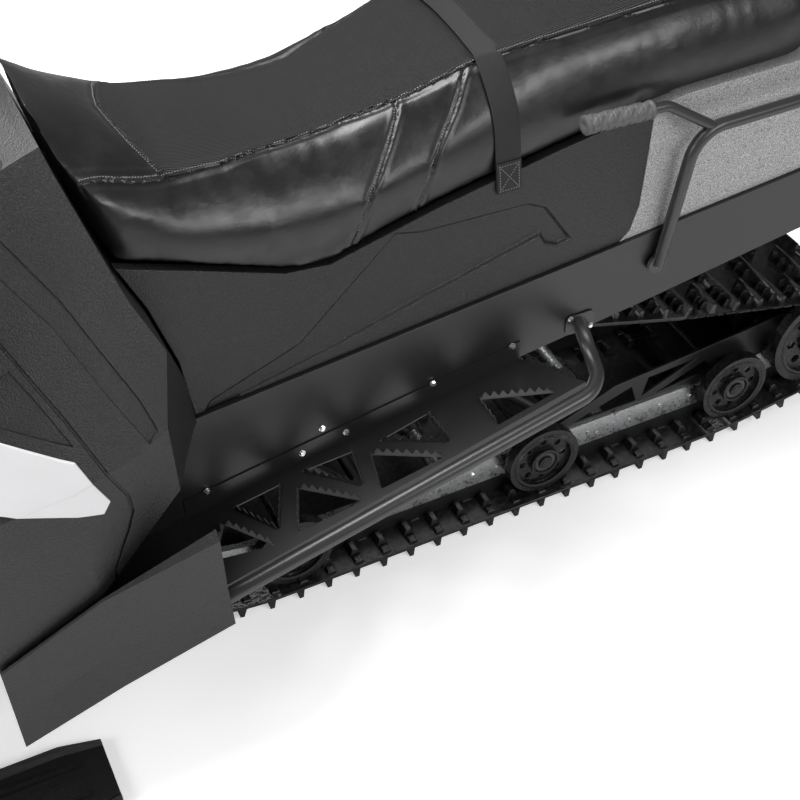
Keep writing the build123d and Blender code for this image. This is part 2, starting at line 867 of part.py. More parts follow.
def cowl_half_section(along):
    """Points from the middle of the top to the edge of the underside, at a share of the length."""
    for (start, first), (end, second) in zip(cowl_shares, cowl_shares[1:]):
        if start <= along <= end:
            share = (along - start) / (end - start)
            points = [
                (cowl_half * mixed(y, next_y, share), cowl_base_z + cowl_height * mixed(z, next_z, share))
                for (y, z), (next_y, next_z) in zip(first, second)
            ]
    x = cowl_rear_x + cowl_length * along
    rear_under = (tunnel_half + well_wall, tunnel_top(x) + fit_gap)
    front_x = cowl_rear_x + cowl_length * under_rear_share
    front_rear_under = (under_rear_share, tunnel_half + well_wall, tunnel_top(front_x) + fit_gap)
    if along <= under_rear_share:
        return points + [rear_under]
    places = [front_rear_under] + [(start, arch_half * y, arch_z * z) for start, y, z in underside_shares]
    for (start, y, z), (end, next_y, next_z) in zip(places, places[1:]):
        if start <= along <= end:
            share = (along - start) / (end - start)
            return points + [(mixed(y, next_y, share), mixed(z, next_z, share))]


def grown(points, amount):
    """A closed outline moved outward, with its corners kept sharp."""
    moved = []
    for index, point in enumerate(points):
        before, here, after = Vector(*points[index - 1]), Vector(*point), Vector(*points[(index + 1) % len(points)])
        first = (here - before).normalized()
        second = (after - here).normalized()
        first_side, second_side = Vector(first.Y, -first.X), Vector(second.Y, -second.X)
        shift = (first_side + second_side) * (amount / (1 + first_side.dot(second_side)))
        moved.append((here.X + shift.X, here.Y + shift.Y))
    return moved


def cowl_section(along, grow):
    half = cowl_half_section(along)
    left = [(-y, z) for y, z in half[1:]]
    bottom = [(0, half[-1][1])]
    closed = [half[0]] + left + bottom + half[:0:-1]
    return grown(closed, grow)


def cowl_body(grow, shares):
    cross_sections([(cowl_rear_x + cowl_length * along, cowl_section(along, grow)) for along in shares])


cowl_stations = [row[0] for row in cowl_shares]
bay_start = (bay_rear_x - cowl_rear_x) / cowl_length
bay_end = 1 - bay_front_gap / cowl_length
bay_shares = [bay_start] + [share for share in cowl_stations if bay_start < share < bay_end] + [bay_end]

# Lines on the side of the cowl: share of its length from the rear, share of its height.
sky_share = 1.3
ground_share = -0.2
gap_shares = (
    (0.010, ground_share),
    (0.011, 0.239),
    (0.021, 0.418),
    (0.052, 0.592),
    (0.086, 0.72),
    (0.128, 0.949),
    (0.179, sky_share),
)
seam_shares = (
    (0.203, ground_share),
    (0.203, 0.164),
    (0.170, 0.247),
    (0.157, 0.290),
    (0.159, 0.343),
    (0.213, 0.554),
    (0.262, 0.718),
    (0.318, sky_share),
)
split_shares = ((0.20, 0.735), (1.05, 0.255))
trim_shares = (
    (0.185, 0.357),
    (0.217, 0.475),
    (0.300, 0.555),
    (0.400, 0.568),
    (0.600, 0.455),
    (0.480, 0.450),
    (0.330, 0.434),
    (0.198, 0.333),
)
valley_shares = (
    (0.250, 0.930),
    (0.220, 0.875),
    (0.172, 0.763),
    (0.108, 0.531),
    (0.095, 0.459),
    (0.112, 0.440),
    (0.147, 0.557),
    (0.194, 0.726),
    (0.236, 0.817),
    (0.268, 0.900),
)
field_shares = (
    (0.262, 0.670),
    (0.236, 0.587),
    (0.212, 0.500),
    (0.298, 0.580),
    (0.400, 0.593),
    (0.560, 0.500),
    (0.500, 0.545),
)


def on_cowl(along, up):
    return (cowl_rear_x + cowl_length * along, cowl_base_z + cowl_height * up)


def cowl_cut(points, mode):
    with BuildSketch(Plane.XZ) as region:
        outline([on_cowl(along, up) for along, up in points])
    extrude(region.sketch, amount=cowl_half + overrun, both=True, mode=mode)


def behind(line):
    """The region of the cowl's side that lies to the rear of a line."""
    return [(ground_share, ground_share)] + [*line] + [(ground_share, sky_share)]


with BuildPart() as cowl_bay:
    cowl_body(-cowl_wall, bay_shares)

# What stands on the cowl is cut off just outside its surface.
with BuildPart() as fitted_cowl:
    cowl_body(fit_gap, cowl_stations)

# Layers just under the surface, cut to the outlines of the grooves and fields pressed into it.
with BuildPart() as seam_core:
    cowl_body(-seam_depth, cowl_stations)
with BuildPart() as valley_core:
    cowl_body(-valley_depth, cowl_stations)
half_seam = seam_width / 2 / cowl_length
with BuildPart() as seam_groove:
    add(fitted_cowl.part)
    add(seam_core.part, mode=Mode.SUBTRACT)
    seam_rear = [(along - half_seam, up) for along, up in seam_shares]
    seam_front = [(along + half_seam, up) for along, up in reversed(seam_shares)]
    cowl_cut(seam_rear + seam_front, Mode.INTERSECT)
with BuildPart() as pressed_fields:
    add(fitted_cowl.part)
    add(valley_core.part, mode=Mode.SUBTRACT)
    with BuildSketch(Plane.XZ) as fields:
        outline([on_cowl(along, up) for along, up in valley_shares])
        outline([on_cowl(along, up) for along, up in field_shares])
    extrude(fields.sketch, amount=cowl_half + overrun, both=True, mode=Mode.INTERSECT)

with BuildPart() as cowl_shell:
    cowl_body(0, cowl_stations)
    add(cowl_bay.part, mode=Mode.SUBTRACT)
    add(seam_groove.part, mode=Mode.SUBTRACT)
    add(pressed_fields.part, mode=Mode.SUBTRACT)
    with BuildSketch(Plane.XY) as arch:
        arch_length = bulkhead_front_x + overrun - bay_rear_x
        with Locations((bay_rear_x + arch_length / 2, 0)):
            Rectangle(arch_length, 2 * (bulkhead_half + overrun))
    extrude(arch.sketch, amount=arch_z + 2 * cowl_wall, mode=Mode.SUBTRACT)

with BuildPart() as console:
    add(cowl_shell.part)
    cowl_cut(behind(seam_shares), Mode.INTERSECT)
    cowl_cut(behind(gap_shares), Mode.SUBTRACT)
    for side in (1, -1):
        with BuildSketch(Plane.XY) as corner:
            outline(
                [
                    (cowl_rear_x - overrun, side * (tunnel_half - well_wall)),
                    (cowl_rear_x + overrun, side * (tunnel_half - well_wall)),
                    (cowl_rear_x + cowl_length * 0.079, side * cowl_half * 0.832),
                    (cowl_rear_x + cowl_length * 0.11, side * (cowl_half + overrun)),
                    (cowl_rear_x - overrun, side * (cowl_half + overrun)),
                ]
            )
        extrude(corner.sketch, amount=cowl_top_z * sky_share, mode=Mode.SUBTRACT)
console.part.label = "console"
export_step(console.part, "parts/console.step")

over_split = [*split_shares] + [(sky_share, sky_share), (split_shares[0][0], sky_share)]
with BuildPart() as hood:
    add(cowl_shell.part)
    cowl_cut(behind(seam_shares), Mode.SUBTRACT)
    cowl_cut(over_split, Mode.INTERSECT)
hood.part.label = "hood"
export_step(hood.part, "parts/hood.step")

with BuildPart() as side_panels:
    add(cowl_shell.part)
    cowl_cut(behind(seam_shares), Mode.SUBTRACT)
    cowl_cut(over_split, Mode.SUBTRACT)
for side_name, kept in (("left", Keep.TOP), ("right", Keep.BOTTOM)):
    with BuildPart() as side_panel:
        add(side_panels.part)
        split(bisect_by=Plane.XZ.rotated((180, 0, 0)), keep=kept)
    side_panel.part.label = "side_panel_" + side_name
    export_step(side_panel.part, f"parts/side_panel_{side_name}.step")

with BuildPart() as side_trims:
    cowl_body(trim_proud, cowl_stations)
    add(fitted_cowl.part, mode=Mode.SUBTRACT)
    cowl_cut(trim_shares, Mode.INTERSECT)
side_trims.part.label = "side_trims"
export_step(side_trims.part, "parts/side_trims.step")

# columns: share of the cowl's half width and of its height, seen from the front
lamp_shares = ((0.06, 0.345), (0.16, 0.42), (0.36, 0.40), (0.46, 0.36), (0.40, 0.29), (0.14, 0.30))
with BuildPart() as headlamps:
    cowl_body(lamp_proud, cowl_stations)
    add(fitted_cowl.part, mode=Mode.SUBTRACT)
    with BuildSketch(Plane.YZ.offset(cowl_rear_x + cowl_length * 0.83)) as lamp_face:
        for side in (1, -1):
            outline([(side * cowl_half * y, cowl_base_z + cowl_height * z) for y, z in lamp_shares])
    extrude(lamp_face.sketch, amount=cowl_length / 2, mode=Mode.INTERSECT)
headlamps.part.label = "headlamps"
export_step(headlamps.part, "parts/headlamps.step")

# The ski turns about a leaning axis through its two ball joints.
caster = Vector(high_ball_x - low_ball_x, 0, high_ball_z - low_ball_z).normalized()
caster_back = Vector(-caster.Z, 0, caster.X)


def on_caster(z, y):
    share = (z - low_ball_z) / (high_ball_z - low_ball_z)
    return Vector(mixed(low_ball_x, high_ball_x, share), y, z)


def post(centre, low, high, radius, mode=Mode.ADD):
    """A round pin along the ski's steering axis."""
    with BuildSketch(Plane(origin=centre + caster * low, z_dir=caster)) as section:
        Circle(radius)
    extrude(section.sketch, amount=high - low, mode=mode)


def link_arm(centre, y_shift):
    """A lever pointing to the rear, with a pin for the tie rod."""
    plane = Plane(origin=centre - caster * (link_plate / 2), x_dir=caster_back, z_dir=caster)
    with BuildSketch(plane) as lever:
        with BuildLine() as edge:
            Polyline(
                (0, -upright_radius * 0.8),
                (0, upright_radius * 0.8),
                (link_length, plane.to_local_coords(centre + Vector(0, y_shift, 0)).Y + eye_radius),
                (link_length, plane.to_local_coords(centre + Vector(0, y_shift, 0)).Y - eye_radius),
                close=True,
            )
        make_face(edge.edges())
        with Locations((link_length, plane.to_local_coords(centre + Vector(0, y_shift, 0)).Y)):
            Circle(eye_radius)
    extrude(lever.sketch, amount=link_plate)
    pin_foot = centre + caster_back * link_length + Vector(0, y_shift, 0)
    post(pin_foot, 0, link_plate / 2 + link_eye + link_pin, link_pin)


with BuildPart() as bulkhead:
    plate_points = [
        (tunnel_front_x + fit_gap, low_arm_z + ring_radius),
        (tunnel_front_x + fit_gap, bulkhead_high_z),
        (mixed(tunnel_front_x, bulkhead_front_x, 0.75), bulkhead_high_z),
        (bulkhead_front_x, mixed(bulkhead_low_z, bulkhead_high_z, 0.7)),
        (bulkhead_front_x, bulkhead_low_z),
        (mixed(tunnel_front_x, bulkhead_front_x, 0.12), bulkhead_low_z),
    ]
    side_plate(plate_points, bulkhead_half, bulkhead_half - bulkhead_plate)
    side_plate(plate_points, bulkhead_plate - bulkhead_half, -bulkhead_half)
    link_end = on_caster(link_z, 0) + caster_back * link_length
    with BuildSketch(Plane.XZ) as holes:
        with Locations((link_end.X, link_end.Z + link_plate)):
            RectangleRounded(link_length, link_length * 0.8, link_length * 0.2)
        for along in (0.15, 0.52):
            low_x = mixed(tunnel_front_x, bulkhead_front_x, along)
            outline(
                [
                    (low_x, mixed(bulkhead_low_z, bulkhead_high_z, 0.72)),
                    (low_x + link_length * 2, mixed(bulkhead_low_z, bulkhead_high_z, 0.9)),
                    (low_x + link_length * 0.4, mixed(bulkhead_low_z, bulkhead_high_z, 0.9)),
                ]
            )
    extrude(holes.sketch, amount=bulkhead_half + overrun, both=True, mode=Mode.SUBTRACT)
    for x in low_arm_x:
        cross_rod(x, low_arm_z, arm_rod_radius, bulkhead_half, -bulkhead_half)
    for x in high_arm_x:
        cross_rod(x, high_arm_z, arm_rod_radius, bulkhead_half, -bulkhead_half)
    with BuildSketch(Plane.YZ.offset(tunnel_front_x + fit_gap)) as rear_plate:
        rear_plate_low = low_arm_z + ring_radius
        rear_plate_height = tunnel_top(tunnel_front_x + 2 * bulkhead_plate) - rear_plate_low
        with Locations((0, rear_plate_low + rear_plate_height / 2)):
            Rectangle(2 * tunnel_half, rear_plate_height)
    extrude(rear_plate.sketch, amount=bulkhead_plate)
    with BuildSketch(Plane.XY.offset(bulkhead_high_z)) as cradle:
        with Locations((engine_x, 0)):
            Rectangle(engine_length, 2 * bulkhead_half)
    extrude(cradle.sketch, amount=-bulkhead_plate)
    bracket = Plane(origin=on_caster(link_z, 0) + caster * (2 * ring_radius), x_dir=caster_back, z_dir=caster)
    with BuildSketch(bracket) as bracket_face:
        Rectangle(3 * ring_radius, 2 * bulkhead_half - bulkhead_plate)
        Circle(kingpin_radius + fit_gap, mode=Mode.SUBTRACT)
    extrude(bracket_face.sketch, amount=bulkhead_plate)
bulkhead.part.label = "bulkhead"
export_step(bulkhead.part, "parts/bulkhead.step")

with BuildPart() as engine:
    with BuildSketch(Plane.XY.offset(bulkhead_high_z + fit_gap)) as engine_foot:
        with Locations((engine_x, 0)):
            RectangleRounded(engine_length, 2 * engine_half, engine_half / 5)
    extrude(engine_foot.sketch, amount=engine_height, taper=3)
engine.part.label = "engine"
export_step(engine.part, "parts/engine.step")


def front_arm(pivots, pivot_z, ball):
    """Two rods from the bulkhead meet in a ring round the kingpin."""
    pivot_y = bulkhead_half + fit_gap + pivot_radius
    for x in pivots:
        rod((x, pivot_y, pivot_z), (ball.X, ball.Y - ring_radius * 0.6, ball.Z), arm_rod_radius)
        rod((x - pivot_radius, pivot_y, pivot_z), (x + pivot_radius, pivot_y, pivot_z), pivot_radius)
    post(ball, -ring_height / 2, ring_height / 2, ring_radius)
    post(ball, -ring_height, ring_height, kingpin_radius + fit_gap, Mode.SUBTRACT)


low_ball = Vector(low_ball_x, ball_y, low_ball_z)
high_ball = Vector(high_ball_x, ball_y, high_ball_z)
with BuildPart() as left_arms:
    front_arm(low_arm_x, low_arm_z, low_ball)
    front_arm(high_arm_x, high_arm_z, high_ball)
with BuildPart() as front_arms:
    add(left_arms.part)
    mirror(left_arms.part, about=Plane.XZ)
front_arms.part.label = "front_arms"
export_step(front_arms.part, "parts/front_arms.step")

shock_top = (mixed(low_arm_x[1], high_arm_x[1], 0.5), bulkhead_half + spring_radius, mixed(high_arm_z, bulkhead_high_z, 0.9))
shock_low_share = 0.62
arm_start = Vector(low_arm_x[1], bulkhead_half + pivot_radius, low_arm_z)
shock_low = arm_start + (low_ball - arm_start) * shock_low_share + Vector(0, 0, arm_rod_radius + shock_radius + fit_gap)
with BuildPart() as ski_shocks:
    for side in (1, -1):
        shock(
            (shock_top[0], side * shock_top[1], shock_top[2]),
            (shock_low.X, side * shock_low.Y, shock_low.Z),
        )
        rod(
            (shock_top[0], side * shock_top[1], shock_top[2]),
            (shock_top[0], side * (bulkhead_half + fit_gap), shock_top[2]),
            shock_radius,
        )
ski_shocks.part.label = "ski_shocks"
export_step(ski_shocks.part, "parts/ski_shocks.step")

# Skis. columns: share of the length from the tail, half width, height of the sole, edge above the sole
ski_shares = (
    (0.0, 0.80, 0.0, 0.3),
    (0.08, 0.95, 0.0, 0.8),
    (0.49, 1.0, 0.0, 1.0),
    (0.76, 1.0, 0.02, 1.0),
    (0.87, 0.96, 0.20, 0.9),
    (0.95, 0.76, 0.58, 0.5),
    (1.0, 0.42, 1.0, 0.2),
)
ski_length = reach - ski_rear_x
# columns: share of the length, height of the rib as a share of the full one
rib_shares = ((0.05, 0.15), (0.30, 0.75), (0.42, 2.6), (0.56, 2.6), (0.66, 1.0), (0.82, 0.6))


def ski_sole(along):
    for (start, _, low, _), (end, _, high, _) in zip(ski_shares, ski_shares[1:]):
        if start <= along <= end:
            return ski_sole_z + (ski_tip_z - ski_sole_z) * mixed(low, high, (along - start) / (end - start))


with BuildPart() as left_ski:
    stations = []
    for along, wide, rise, edge in ski_shares:
        half = ski_half_width * wide
        sole = ski_sole(along)
        lip = sole + ski_thickness + ski_edge * edge
        profile = [
            (-half * 0.86, sole),
            (half * 0.86, sole),
            (half, lip - ski_thickness / 2),
            (half - ski_thickness, lip),
            (half * 0.78, sole + ski_thickness),
            (-half * 0.78, sole + ski_thickness),
            (ski_thickness - half, lip),
            (-half, lip - ski_thickness / 2),
        ]
        stations.append((ski_rear_x + ski_length * along, [(ski_y + y, z) for y, z in profile]))
    cross_sections(stations)
    for place in (ski_rib_half, -ski_rib_half):
        points = [(ski_rear_x + ski_length * along, ski_sole(along) + ski_thickness / 2) for along, _ in rib_shares]
        tops = [
            (ski_rear_x + ski_length * along, ski_sole(along) + ski_thickness + ski_rib_height * high)
            for along, high in reversed(rib_shares)
        ]
        side_plate(points + tops, ski_y + place + ski_thickness / 2, ski_y + place - ski_thickness / 2)
    keel_rear = ski_rear_x + ski_length * 0.12
    keel_front = ski_rear_x + ski_length * 0.72
    side_plate(
        [
            (keel_rear, ski_sole_z + ski_thickness / 2),
            (keel_rear + ski_length * 0.05, 0),
            (keel_front - ski_length * 0.05, 0),
            (keel_front, ski_sole_z + ski_thickness / 2),
        ],
        ski_y + ski_keel_half,
        ski_y - ski_keel_half,
    )
    tube(
        [
            (ski_rear_x + ski_length * 0.985, ski_y, ski_sole(0.985) + ski_thickness / 2),
            (ski_rear_x + ski_length * 0.965, ski_y, ski_sole(0.985) + ski_tip_z * 0.32),
            (ski_rear_x + ski_length * 0.87, ski_y, ski_sole(0.87) + ski_tip_z * 0.42),
            (ski_rear_x + ski_length * 0.80, ski_y, ski_sole(0.80) + ski_thickness / 2),
        ],
        ski_loop_radius,
        ski_loop_radius * 2.2,
    )
    with BuildSketch(Plane.XZ.offset(-ski_y)) as pin_hole:
        with Locations((ski_pin_x, ski_pin_z)):
            Circle(kingpin_radius + fit_gap)
    extrude(pin_hole.sketch, amount=ski_half_width, both=True, mode=Mode.SUBTRACT)
    with BuildSketch(Plane.YZ.offset(reach)) as trim_plane:
        Rectangle(4 * ski_y, 4 * ski_y)
    extrude(trim_plane.sketch, amount=ski_half_width, mode=Mode.SUBTRACT)

with BuildPart() as left_spindle:
    post(low_ball, -kingpin_reach, 0, kingpin_radius)
    post(low_ball, 0, (high_ball - low_ball).length + kingpin_reach, kingpin_radius)
    low_rest = ring_height / 2 + fit_gap
    post(low_ball, low_rest, (high_ball - low_ball).length - low_rest, upright_radius)
    strut_plane = Plane(origin=low_ball + caster * (low_rest + ring_height), x_dir=caster_back, z_dir=caster)
    strut_y = strut_plane.to_local_coords(low_ball + Vector(0, strut_gap + strut_width / 2, 0)).Y
    reach_y = strut_plane.to_local_coords(low_ball + Vector(0, strut_gap, 0)).Y
    with BuildSketch(strut_plane) as web_face:
        with Locations((0, (strut_y + reach_y) / 2 * 0.75)):
            Rectangle(strut_length * 0.7, abs(strut_y) * 1.5)
    extrude(web_face.sketch, amount=upright_radius * 1.6)
    with BuildSketch(strut_plane.offset(upright_radius * 1.6)) as strut_face:
        with Locations((0, strut_y)):
            RectangleRounded(strut_length, strut_width, strut_width / 4)
    extrude(strut_face.sketch, amount=-(strut_plane.origin.Z + upright_radius * 1.6 - ski_pin_z) / caster.Z)
    cross_rod(
        ski_pin_x,
        ski_pin_z,
        kingpin_radius,
        ski_y + ski_rib_half + ski_thickness,
        ski_y - ski_rib_half - ski_thickness,
    )
    with BuildSketch(Plane.XZ.offset(-ski_y)) as saddle_face:
        with Locations((ski_pin_x, ski_pin_z)):
            Circle(saddle_half)
    extrude(saddle_face.sketch, amount=ski_rib_half - ski_thickness / 2 - fit_gap, both=True)
    link_arm(on_caster(link_z, ball_y), link_y)

for side_name, side in (("left", 1), ("right", -1)):
    with BuildPart() as ski:
        if side > 0:
            add(left_ski.part)
        else:
            mirror(left_ski.part, about=Plane.XZ)
    ski.part.label = "ski_" + side_name
    export_step(ski.part, f"parts/ski_{side_name}.step")
    with BuildPart() as spindle:
        if side > 0:
            add(left_spindle.part)
        else:
            mirror(left_spindle.part, about=Plane.XZ)
    spindle.part.label = "spindle_" + side_name
    export_step(spindle.part, f"parts/spindle_{side_name}.step")
    with BuildPart() as tie_rod:
        ends = []
        for y in (link_y, ball_y + link_y):
            foot = on_caster(link_z, side * y) + caster_back * link_length
            low = link_plate / 2 + fit_gap
            post(foot, low, low + link_eye - fit_gap, eye_radius)
            ends.append(foot + caster * (low + link_eye / 2 - fit_gap / 2))
        inward = (ends[1] - ends[0]).normalized()
        rod(ends[0] + inward * link_rod, ends[1] - inward * link_rod, link_rod)
        for y in (link_y, ball_y + link_y):
            foot = on_caster(link_z, side * y) + caster_back * link_length
            post(foot, 0, link_plate + 2 * link_eye, link_pin + fit_gap, Mode.SUBTRACT)
    tie_rod.part.label = "tie_rod_" + side_name
    export_step(tie_rod.part, f"parts/tie_rod_{side_name}.step")

with BuildPart() as steering_arm:
    link_arm(on_caster(link_z, 0), link_y)
    link_arm(on_caster(link_z, 0), -link_y)
    post(on_caster(link_z, 0), -link_plate / 2, 2 * ring_radius + 2 * bulkhead_plate + ring_radius, kingpin_radius)
    post(on_caster(link_z, 0), -link_plate / 2, 2 * ring_radius - fit_gap, upright_radius * 0.8)
steering_arm.part.label = "steering_arm"
export_step(steering_arm.part, "parts/steering_arm.step")

# Windshield: one leaning, curved sheet standing on the hood.
# columns: share of the rise, share of the way from the base's half width to the top's
shield_shares = ((0.0, -0.3), (0.35, 0.0), (0.65, 0.25), (0.87, 0.7), (1.0, 1.6))
with BuildPart() as windshield:
    shield_sections = []
    shield_rise = shield_top_z - shield_base_z
    for up, narrow in shield_shares:
        half = mixed(shield_half, shield_top_half, narrow)
        centre_x = shield_base_x - shield_lean * shield_rise * up
        sweep_back = (shield_base_x - shield_edge_x) * half / shield_half
        with BuildSketch(Plane.XY.offset(shield_base_z + shield_rise * up)) as shield_section:
            with BuildLine() as shield_line:
                ThreePointArc(
                    (centre_x - sweep_back, half),
                    (centre_x, 0),
                    (centre_x - sweep_back, -half),
                )
                ThreePointArc(
                    (centre_x - sweep_back - shield_sheet, half),
                    (centre_x - shield_sheet, 0),
                    (centre_x - sweep_back - shield_sheet, -half),
                )
                Line((centre_x - sweep_back, half), (centre_x - sweep_back - shield_sheet, half))
                Line((centre_x - sweep_back, -half), (centre_x - sweep_back - shield_sheet, -half))
            make_face(shield_line.edges())
        shield_sections.append(shield_section.sketch)
    loft(shield_sections, ruled=True)
    add(fitted_cowl.part, mode=Mode.SUBTRACT)
windshield.part.label = "windshield"
export_step(windshield.part, "parts/windshield.step")

# Steering column, handlebar and dash
column = Vector(-post_slope, 0, 1).normalized()
column_top = Vector(post_x, 0, post_z)
column_foot = column_top - column * post_length

with BuildPart() as dash:
    stations = []
    # columns: share of the dash's length from its rear, share of its half width, share of its rise
    for along, wide, rise in ((0.0, 0.80, 1.0), (0.45, 1.0, 0.9), (1.0, 0.55, 0.0)):
        x = mixed(dash_rear_x, dash_front_x, along)
        middle_z = cowl_half_section((x - cowl_rear_x) / cowl_length)[0][1]
        half = dash_half * wide
        top = middle_z + dash_rise * rise + overrun
        points = [(-half, middle_z - dash_fall), (half, middle_z - dash_fall), (half, top - dash_rise / 2), (half * 0.8, top)]
        stations.append((x, points + [(-half * 0.8, top), (-half, top - dash_rise / 2)]))
    cross_sections(stations)
    with BuildSketch(Plane(origin=column_foot - column * fit_gap, z_dir=column)) as collar:
        Circle(collar_radius)
    extrude(collar.sketch, amount=-collar_height)
    with BuildSketch(Plane(origin=column_foot - column * fit_gap, z_dir=column)) as column_way:
        Circle(collar_radius)
    extrude(column_way.sketch, amount=dash_fall, mode=Mode.SUBTRACT)
    add(fitted_cowl.part, mode=Mode.SUBTRACT)
dash.part.label = "dash"
export_step(dash.part, "parts/dash.step")

bar_end = Vector(bar_end_x, bar_end_y, bar_end_z)
bar_mid = Vector(bar_mid_x, bar_mid_y, bar_mid_z)
bar_way = (bar_mid - bar_end).normalized()
bar_route = [bar_end, bar_mid, Vector(post_x, bar_flat_y, post_z)]
bar_route += [Vector(point.X, -point.Y, point.Z) for point in reversed(bar_route)]


def bar_sleeve(start, length, radius):
    """A ring of the bar's own direction, placed at a distance from the bar's left end."""
    with BuildSketch(Plane(origin=bar_end + bar_way * start, z_dir=bar_way)) as section:
        Circle(radius)
    extrude(section.sketch, amount=length)


with BuildPart() as handlebar:
    tube(bar_route, bar_radius, bar_bend)
    with BuildSketch(Plane(origin=column_foot, z_dir=column)) as stem:
        Circle(post_radius)
    extrude(stem.sketch, amount=post_length)
    with BuildSketch(Plane(origin=column_top - column * (clamp_height / 2), x_dir=(0, 1, 0), z_dir=column)) as clamp:
        RectangleRounded(clamp_width, clamp_length, clamp_length / 5)
    extrude(clamp.sketch, amount=clamp_height)
handlebar.part.label = "handlebar"
export_step(handlebar.part, "parts/handlebar.step")

with BuildPart() as left_grip:
    bar_sleeve(-overrun, grip_length, grip_radius)
    with BuildSketch(Plane(origin=bar_end - bar_way * fit_gap, z_dir=bar_way)) as bar_hole:
        Circle(bar_radius + fit_gap)
    extrude(bar_hole.sketch, amount=grip_length, mode=Mode.SUBTRACT)
with BuildPart() as hand_grips:
    add(left_grip.part)
    mirror(left_grip.part, about=Plane.XZ)
hand_grips.part.label = "hand_grips"
export_step(hand_grips.part, "parts/hand_grips.step")

lever_ahead = bar_way.cross(Vector(0, 0, 1)).normalized()
with BuildPart() as left_lever:
    clamp_start = grip_length - overrun + fit_gap
    bar_sleeve(clamp_start, lever_clamp_width, lever_clamp)
    lever_foot = bar_end + bar_way * (clamp_start + lever_clamp_width / 2)
    lever_side = lever_ahead * math.copysign(lever_reach, lever_ahead.X)
    tube(
        [
            lever_foot,
            lever_foot + lever_side * 0.75,
            lever_foot + lever_side - bar_way * (lever_length * 0.4),
            lever_foot + lever_side * 0.9 - bar_way * (lever_length * 0.85),
        ],
        lever_radius,
        lever_clamp,
    )
    with BuildSketch(Plane(origin=bar_end, z_dir=bar_way)) as bar_hole:
        Circle(bar_radius + fit_gap)
    extrude(bar_hole.sketch, amount=grip_length + lever_length, mode=Mode.SUBTRACT)
with BuildPart() as hand_levers:
    add(left_lever.part)
    mirror(left_lever.part, about=Plane.XZ)
hand_levers.part.label = "hand_levers"
export_step(hand_levers.part, "parts/hand_levers.step")

# Skid plate under the nose
pan_top_z = bulkhead_low_z - fit_gap
pan_rear_x = mixed(tunnel_front_x, bulkhead_front_x, 0.15)
with BuildPart() as belly_pan:
    side_plate(
        [
            (pan_rear_x, pan_top_z),
            (bulkhead_front_x, pan_top_z),
            (pan_front_x, pan_front_z),
            (pan_front_x + pan_sheet, pan_front_z),
            (bulkhead_front_x + pan_sheet, pan_top_z - pan_sheet),
            (pan_rear_x, pan_top_z - pan_sheet),
        ],
        bulkhead_half,
        -bulkhead_half,
    )
belly_pan.part.label = "belly_pan"
export_step(belly_pan.part, "parts/belly_pan.step")

bumper_foot_y = bulkhead_half + fit_gap + bumper_radius
bumper_line_x = bumper_front_x - bumper_radius
with BuildPart() as front_bumper:
    # columns: height of the bar in front, X of its foot on the bulkhead, Z of that foot
    bars = (
        (bumper_low_z, low_arm_x[1] - pivot_radius, bumper_low_z - bumper_radius),
        (bumper_high_z, bulkhead_front_x - 3 * bumper_radius, bumper_high_z - 3 * bumper_radius),
    )
    for height, foot_x, foot_z in bars:
        half_route = [
            Vector(foot_x, bumper_foot_y, foot_z),
            Vector(mixed(foot_x, bumper_line_x, 0.4), bumper_half - bumper_radius, height),
            Vector(bumper_line_x, bumper_half - bumper_radius, height),
        ]
        tube(half_route + [Vector(p.X, -p.Y, p.Z) for p in reversed(half_route)], bumper_radius, bumper_bend)
    for y in (bumper_half / 2, -bumper_half / 2):
        rod((bumper_line_x, y, bumper_low_z), (bumper_line_x, y, bumper_high_z), bumper_radius * 0.8)
    side_cut = bulkhead_half + fit_gap
    with BuildSketch(Plane.XZ) as foot_cut:
        with Locations((bulkhead_front_x - bumper_bend, mixed(bumper_low_z, bumper_high_z, 0.5))):
            Rectangle(4 * bumper_bend, bumper_high_z)
    extrude(foot_cut.sketch, amount=side_cut, both=True, mode=Mode.SUBTRACT)
front_bumper.part.label = "front_bumper"
export_step(front_bumper.part, "parts/front_bumper.step")

# Seat sections. columns: share of the seat's length from its rear, then four points from the middle of
# the top down to the lower edge, each a share of the half width and a share of the height
seat_shares = (
    (0.000, ((0.0, 0.898), (0.678, 0.868), (0.966, 0.693), (0.953, 0.474))),
    (0.027, ((0.0, 1.0), (0.699, 0.956), (1.0, 0.693), (0.983, 0.401))),
    (0.203, ((0.0, 1.0), (0.72, 0.956), (1.02, 0.693), (1.0, 0.395))),
    (0.380, ((0.0, 0.921), (0.712, 0.874), (1.03, 0.591), (1.01, 0.278))),
    (0.473, ((0.0, 0.845), (0.699, 0.804), (1.04, 0.518), (1.01, 0.205))),
    (0.541, ((0.0, 0.722), (0.699, 0.693), (1.04, 0.43), (1.01, 0.149))),
    (0.642, ((0.0, 0.599), (0.699, 0.576), (1.06, 0.313), (1.02, 0.047))),
    (0.686, ((0.0, 0.594), (0.686, 0.57), (1.06, 0.298), (1.02, 0.0))),
    (0.743, ((0.0, 0.605), (0.678, 0.576), (1.06, 0.313), (1.02, 0.029))),
    (0.845, ((0.0, 0.693), (0.636, 0.664), (1.04, 0.401), (1.02, 0.202))),
    (0.936, ((0.0, 0.927), (0.551, 0.898), (0.953, 0.693), (1.0, 0.351))),
    (1.000, ((0.0, 1.16), (0.381, 1.15), (0.551, 1.07), (0.508, 0.985))),
)
seat_length = seat_front_x - seat_rear_x


def seat_half_section(along):
    for (start, first), (end, second) in zip(seat_shares, seat_shares[1:]):
        if start <= along <= end:
            share = (along - start) / (end - start)
            return [
                (seat_half * mixed(y, next_y, share), seat_low_z + seat_height * mixed(z, next_z, share))
                for (y, z), (next_y, next_z) in zip(first, second)
            ]


